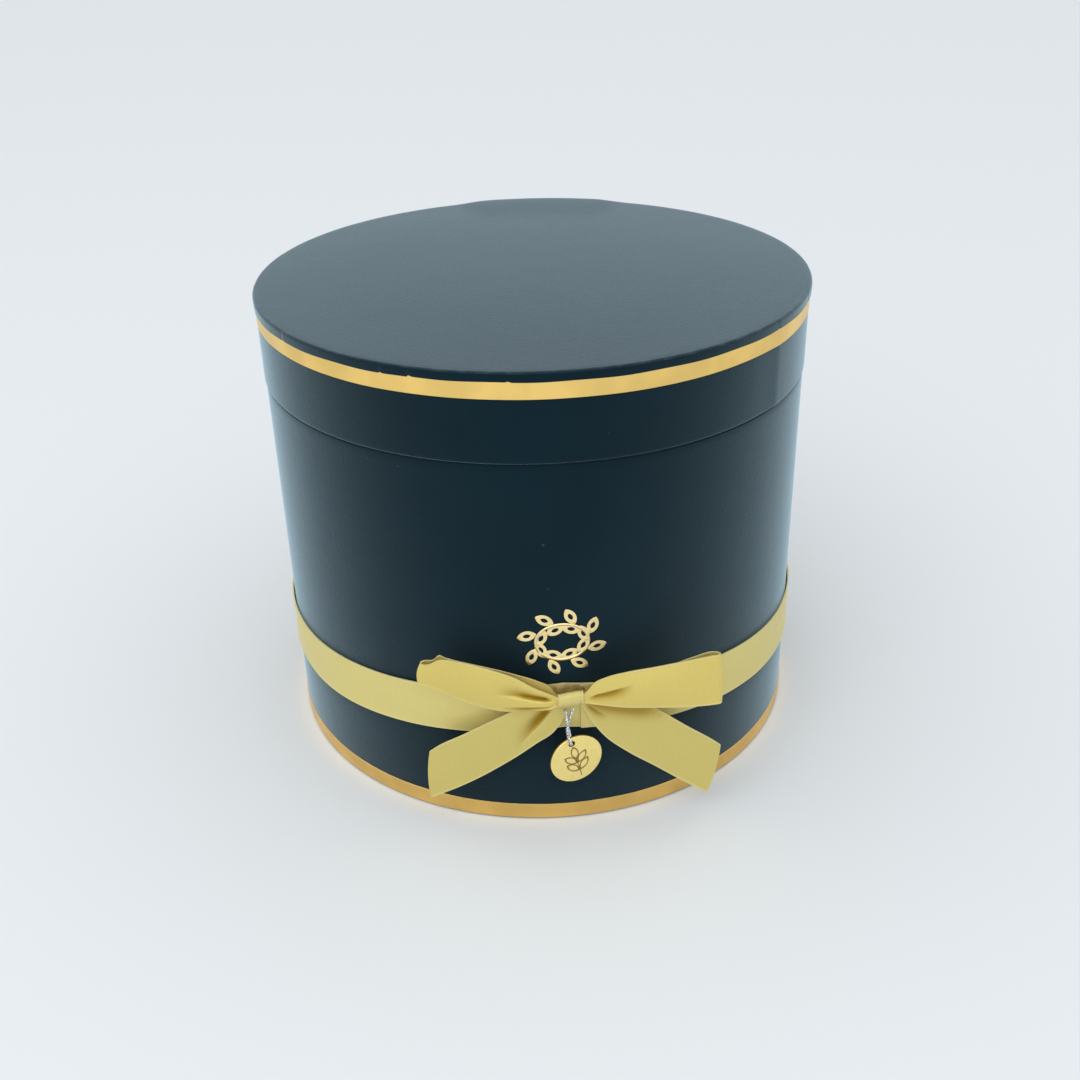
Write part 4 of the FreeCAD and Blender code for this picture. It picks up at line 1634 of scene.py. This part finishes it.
    def glue(self) -> None:
        """Thin uneven smear of clear glue on the band, thicker behind the knot."""
        low, high = (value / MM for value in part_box("bow_glue"))
        rows, columns = self.glue_grid
        up, side = np.meshgrid(np.linspace(-1, 1, rows), np.linspace(-1, 1, columns), indexing="ij")
        chance = random.Random(3)
        lumps = np.zeros_like(up)
        for _ in range(self.glue_lumps):
            lump = chance.uniform(0.05, 0.16) * hump(up, chance.uniform(-1, 1), 0.3)
            lumps += lump * hump(side, chance.uniform(-1, 1), 0.3)
        rounded = np.sqrt(np.clip(1 - np.maximum(np.abs(up), np.abs(side)) ** 8, 0, 1))
        foot = self.knot_z - self.knot_height / 2
        x = (low.x + high.x) / 2 + (high.x - low.x) / 2 * side * (1 - 0.10 * up ** 2)
        z = (foot + high.z) / 2 + (high.z - foot) / 2 * up * (1 - 0.12 * side ** 2)
        near = -np.sqrt((self.band_radius + self.band_build) ** 2 - x ** 2)
        behind = hump(z, self.knot_z, 2.2) * hump(x, self.bow_x, 3.5)
        thick = (near - low.y) * np.maximum(0.25, 0.75 * behind) + lumps
        front = near - np.maximum(thick * rounded, 0.02)
        wall_side, bow_side = (np.stack([x, y, z], axis=-1) for y in (near, front))
        points = np.concatenate([wall_side, bow_side[:, ::-1]], axis=1)
        piece = solid("glue_pad", points, capped_faces(rows, columns))
        settle(piece, Body.BOX, GLUE, "bow_glue")

    def build(self) -> None:
        """Makes the band and the bow."""
        self.band()
        self.glue()
        self.knot()
        self.loops()
        self.tails()


@dataclass
class Charm:
    """Round tag on a silver cord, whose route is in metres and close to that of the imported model."""

    route: tuple[tuple[float, float, float], ...] = (
        (0.0000, -0.115124, 0.0574), (0.0008, -0.1164, 0.0518), (0.0004, -0.11725, 0.0474),
        (0.0022, -0.11740, 0.04155), (0.0022, -0.11345, 0.04155), (0.00150, -0.11345, 0.0464),
        (0.0006, -0.1149, 0.0500), (0.0030, -0.115124, 0.0574),
    )
    cord_diameter: float = 1.25
    ply: float = 0.30
    twist: float = 2.3
    cord_step: float = 0.12
    tag_diameter: float = 21.0
    tag_thickness: float = 1.0
    tag_bevel: float = 0.30
    tag_steps: int = 192
    hole: float = 2.6
    hole_bevel: float = 0.12
    hole_offset: float = 7.8
    roll: float = 13.7
    turn: float = 16.6
    sprig_leaf: tuple[float, ...] = (6.6, 3.2, 0.50, 0.02, 0.005)
    sprig_places: tuple[tuple[float, float], ...] = (
        (-5.2, 46), (-5.2, 134), (-1.5, 46), (-1.5, 134), (0.4, 90),
    )
    sprig_stem: tuple[float, float] = (-8.2, 0.5)
    sprig_section: tuple[tuple[float, float], ...] = ((-0.2, 0), (-0.2, 0.02), (0.2, 0.02), (0.2, 0))
    sprig_steps: int = 24
    sprig_drop: float = 0.6
    sprig_gap: float = 0.004

    def path(self) -> list[Vector]:
        """Smooth line of the cord, read from its spline.

        Returns:
            Its points.
        """
        curve = bpy.data.curves.new("cord_route", "CURVE")
        curve.dimensions = "3D"
        curve.resolution_u = 24
        spline = curve.splines.new("NURBS")
        spline.points.add(len(self.route) - 1)
        for point, place in zip(spline.points, self.route):
            point.co = (*place, 1.0)
        spline.order_u = 3
        spline.use_endpoint_u = True
        bare = bpy.data.objects.new("cord_route", curve)
        mesh = bpy.data.meshes.new_from_object(bare)
        points = [vertex.co.copy() for vertex in mesh.vertices]
        bpy.data.meshes.remove(mesh)
        bpy.data.objects.remove(bare)
        bpy.data.curves.remove(curve)
        return points

    def forge(self) -> NodeForge:
        """Winds two plies round a line.

        Returns:
            The tree.
        """
        wind = self.cord_diameter / 2 - self.ply
        forge = NodeForge("twisted_cord", {
            "Ply Radius": self.ply * MM, "Wind Radius": wind * MM,
            "Twist": self.twist * MM, "Spacing": self.cord_step * MM,
        })
        board, given = forge.board, forge.inputs
        line = board.out("GeometryNodeMeshToCurve", {0: given["Geometry"]})
        inputs = {0: line, "Length": given["Spacing"]}
        fine = board.out("GeometryNodeResampleCurve", inputs, mode="LENGTH")
        normal = board.out("GeometryNodeInputNormal")
        beside = board.vector("CROSS_PRODUCT", board.out("GeometryNodeInputTangent"), normal)
        length = board.add("GeometryNodeSplineParameter").outputs["Length"]
        turn = board.math("DIVIDE", board.times(length, 2 * math.pi), given["Twist"])
        inputs = {"Resolution": 10, "Radius": given["Ply Radius"]}
        ring = board.out("GeometryNodeCurvePrimitiveCircle", inputs)
        plies = []
        for phase in (0.0, math.pi):
            at = board.plus(turn, phase)
            first = board.scaled(normal, board.times(board.math("COSINE", at), given["Wind Radius"]))
            second = board.scaled(beside, board.times(board.math("SINE", at), given["Wind Radius"]))
            shift = board.vector("ADD", first, second)
            wound = board.out("GeometryNodeSetPosition", {0: fine, "Offset": shift})
            plies.append(board.out("GeometryNodeCurveToMesh", {0: wound, 1: ring, "Fill Caps": True}))
        forge.finish(forge.join(*plies), SILVER)
        return forge

    def cord(self) -> None:
        """Twisted cord from the knot through the hole of the tag and back."""
        points = self.path()
        mesh = bpy.data.meshes.new("silver_cord_line")
        mesh.from_pydata(points, [(index, index + 1) for index in range(len(points) - 1)], [])
        piece = self.forge().run(link("silver_cord_twist", mesh))
        piece.data.shade_smooth()
        settle(piece, Body.CHARM, SILVER, "charm_cord")

    def placed(self) -> Matrix:
        """Place of the tag.

        Returns:
            The move from a tag with its hole's middle at the origin and its face up.
        """
        x, near, z = self.route[3]
        y = (near + self.route[4][1]) / 2
        spin = Matrix.Rotation(math.radians(self.turn), 4, "Z") @ Matrix.Rotation(math.pi / 2, 4, "X")
        spin = spin @ Matrix.Rotation(math.radians(self.roll), 4, "Z")
        return Matrix.Translation((x, y, z)) @ spin

    def rounded(self, radius: float, bevel: float) -> Outline:
        """Rounded edge of the tag from its face to its back.

        Args:
            radius: Radius of the edge.
            bevel: Radius of its rounding, below zero at a hole.

        Returns:
            Points of (radius, height).
        """
        half, size = self.tag_thickness / 2, abs(bevel)
        arc = np.radians(np.linspace(0, 90, 6))
        edge = [(radius - bevel + bevel * math.sin(a), half - size + size * math.cos(a)) for a in arc]
        return edge + [(place, -height) for place, height in reversed(edge)]

    def tag(self) -> None:
        """Round tag with a rounded rim and a hole near it."""
        turn = np.arange(self.tag_steps) * 2 * math.pi / self.tag_steps
        rim = self.rounded(self.tag_diameter / 2, self.tag_bevel)
        edge = self.rounded(self.hole / 2, -self.hole_bevel)
        rings = []
        for outline, middle in ((rim[::-1], -self.hole_offset), (edge, 0.0)):
            for radius, height in outline:
                x, y = radius * np.cos(turn), middle + radius * np.sin(turn)
                rings.append(np.stack([x, y, 0 * turn + height], axis=1))
        points = np.stack(rings)
        piece = solid("round_tag", points, tube_faces(*points.shape[:2]), 30)
        GOLD.dress(piece)
        piece.data.materials.append(TAG_EDGE_PAINTED_SHADE.material())
        # Faces that look sideways get the dark copy of the gold, a painted shade on the rim.
        for face in piece.data.polygons:
            face.material_index = int(abs(face.normal.z) < 0.5)
        piece.data.transform(self.placed())
        settle(piece, Body.TAG, GOLD, "charm_tag")

    def sprig(self) -> None:
        """Engraved sprig on the face of the tag: a stem with paired leaves."""
        pieces = []
        for index, (height, heading) in enumerate(self.sprig_places):
            leaf = line_leaf("sprig_leaf_%d" % index, *self.sprig_leaf)
            flat = Matrix.Rotation(-math.pi / 2, 4, "X")
            turn = Matrix.Rotation(math.radians(heading), 4, "Z")
            middle = Vector((0, height - self.hole_offset - self.sprig_drop, 0))
            leaf.data.transform(Matrix.Translation(middle * MM) @ turn @ flat)
            pieces.append(leaf)
        rows = self.sprig_steps
        heights = np.linspace(*self.sprig_stem, rows) - (self.hole_offset + self.sprig_drop)
        stem = np.array([(x, y, z) for y in heights for x, z in self.sprig_section])
        pieces.append(solid("sprig_stem", stem, capped_faces(rows, 2)))
        work = bmesh.new()
        for part in pieces:
            work.from_mesh(part.data)
            discard(part)
        mesh = bpy.data.meshes.new("tag_sprig")
        work.to_mesh(mesh)
        work.free()
        face = Matrix.Translation((0, 0, (self.tag_thickness / 2 + self.sprig_gap) * MM))
        mesh.transform(self.placed() @ face)
        settle(link("tag_sprig", mesh), Body.TAG, ENGRAVED)

    def build(self) -> None:
        """Makes the cord and the tag."""
        self.cord()
        self.tag()
        self.sprig()


@dataclass
class Studio:
    """Plain floor, soft light and the camera at the photograph's angle, in metres."""

    place: tuple[float, float, float] = (-0.033346, -0.502046, 0.345429)
    right: tuple[float, float, float] = (0.99646377, -0.08033708, -0.02461527)
    up: tuple[float, float, float] = (0.06050155, 0.48274039, 0.87367115)
    lens: float = 43.04
    floor_half: float = 14.0
    floor_level: float = -0.0001
    floor_color: Color = (0.76, 0.79, 0.815)
    world_color: Color = (0.812, 0.84, 0.864)
    world_light: float = 0.58
    world_seen: float = 0.45
    sky_power: float = 1.55
    sky_spread: float = 110.0
    sky_lean: tuple[float, float] = (12.0, -3.0)
    box_power: float = 10.0
    box_size: float = 1.8
    box_place: tuple[float, float, float] = (-0.7, -1.5, 1.3)
    box_aim: tuple[float, float, float] = (0.0, 0.0, 0.09)

    def camera(self) -> None:
        """Camera of the photograph."""
        data = bpy.data.cameras.new("photo_camera")
        data.lens, data.sensor_width, data.sensor_fit = self.lens, 36.0, "AUTO"
        data.clip_start, data.clip_end = 0.01, 60.0
        camera = link("photo_camera", data)
        right, up = Vector(self.right).normalized(), Vector(self.up)
        back = right.cross(up).normalized()
        axes = Matrix((right, back.cross(right), back)).transposed().to_4x4()
        camera.matrix_world = Matrix.Translation(self.place) @ axes
        bpy.context.scene.camera = camera

    def floor(self) -> None:
        """Wide pale floor."""
        mesh = bpy.data.meshes.new("studio_floor")
        signs = ((-1, -1), (1, -1), (1, 1), (-1, 1))
        corners = [(self.floor_half * x, self.floor_half * y, self.floor_level) for x, y in signs]
        mesh.from_pydata(corners, [], [(0, 1, 2, 3)])
        floor = link("studio_floor", mesh)
        Finish("pale_floor", "", self.floor_color, roughness=0.9, specular=0.1).dress(floor)

    def world(self) -> None:
        """Pale surroundings: full for what is seen or mirrored, softer as a light."""
        world = bpy.data.worlds.new("studio_world")
        bpy.context.scene.world = world
        world.use_nodes = True
        board = Board(world.node_tree)
        ground = world.node_tree.nodes["Background"]
        path = board.add("ShaderNodeLightPath").outputs
        seen = board.math("MAXIMUM", path["Is Camera Ray"], path["Is Glossy Ray"])
        seen = board.math("MAXIMUM", seen, path["Is Transmission Ray"])
        ground.inputs["Color"].default_value = opaque(self.world_color)
        strength = board.math("MULTIPLY_ADD", seen, self.world_seen, self.world_light)
        board.feed(ground.inputs["Strength"], strength)

    def lamps(self) -> None:
        """Wide light from above and a soft box at the front."""
        sun = bpy.data.lights.new("sky_light", "SUN")
        sun.energy, sun.angle = self.sky_power, math.radians(self.sky_spread)
        lamp = link("sky_light", sun)
        lamp.rotation_euler = (*map(math.radians, self.sky_lean), 0)
        area = bpy.data.lights.new("front_box", "AREA")
        area.shape, area.size, area.energy = "SQUARE", self.box_size, self.box_power
        soft = link("front_box", area)
        soft.location = self.box_place
        aim = Vector(self.box_aim) - soft.location
        soft.rotation_euler = aim.to_track_quat("-Z", "Y").to_euler()

    def build(self) -> None:
        """Sets up the studio."""
        bpy.context.scene.view_settings.view_transform = "Standard"
        self.camera()
        self.floor()
        self.world()
        self.lamps()


def main() -> None:
    """Builds the studio and every piece, and logs each assembly as built."""
    logging.basicConfig(level=logging.INFO, format="%(name)s: %(message)s")
    for assembly in (Studio(), Charm(), BoxShell(), Wreath(), Ribbons()):
        assembly.build()
        LOG.info("%s built", type(assembly).__name__)


if __name__ == "__main__":
    main()
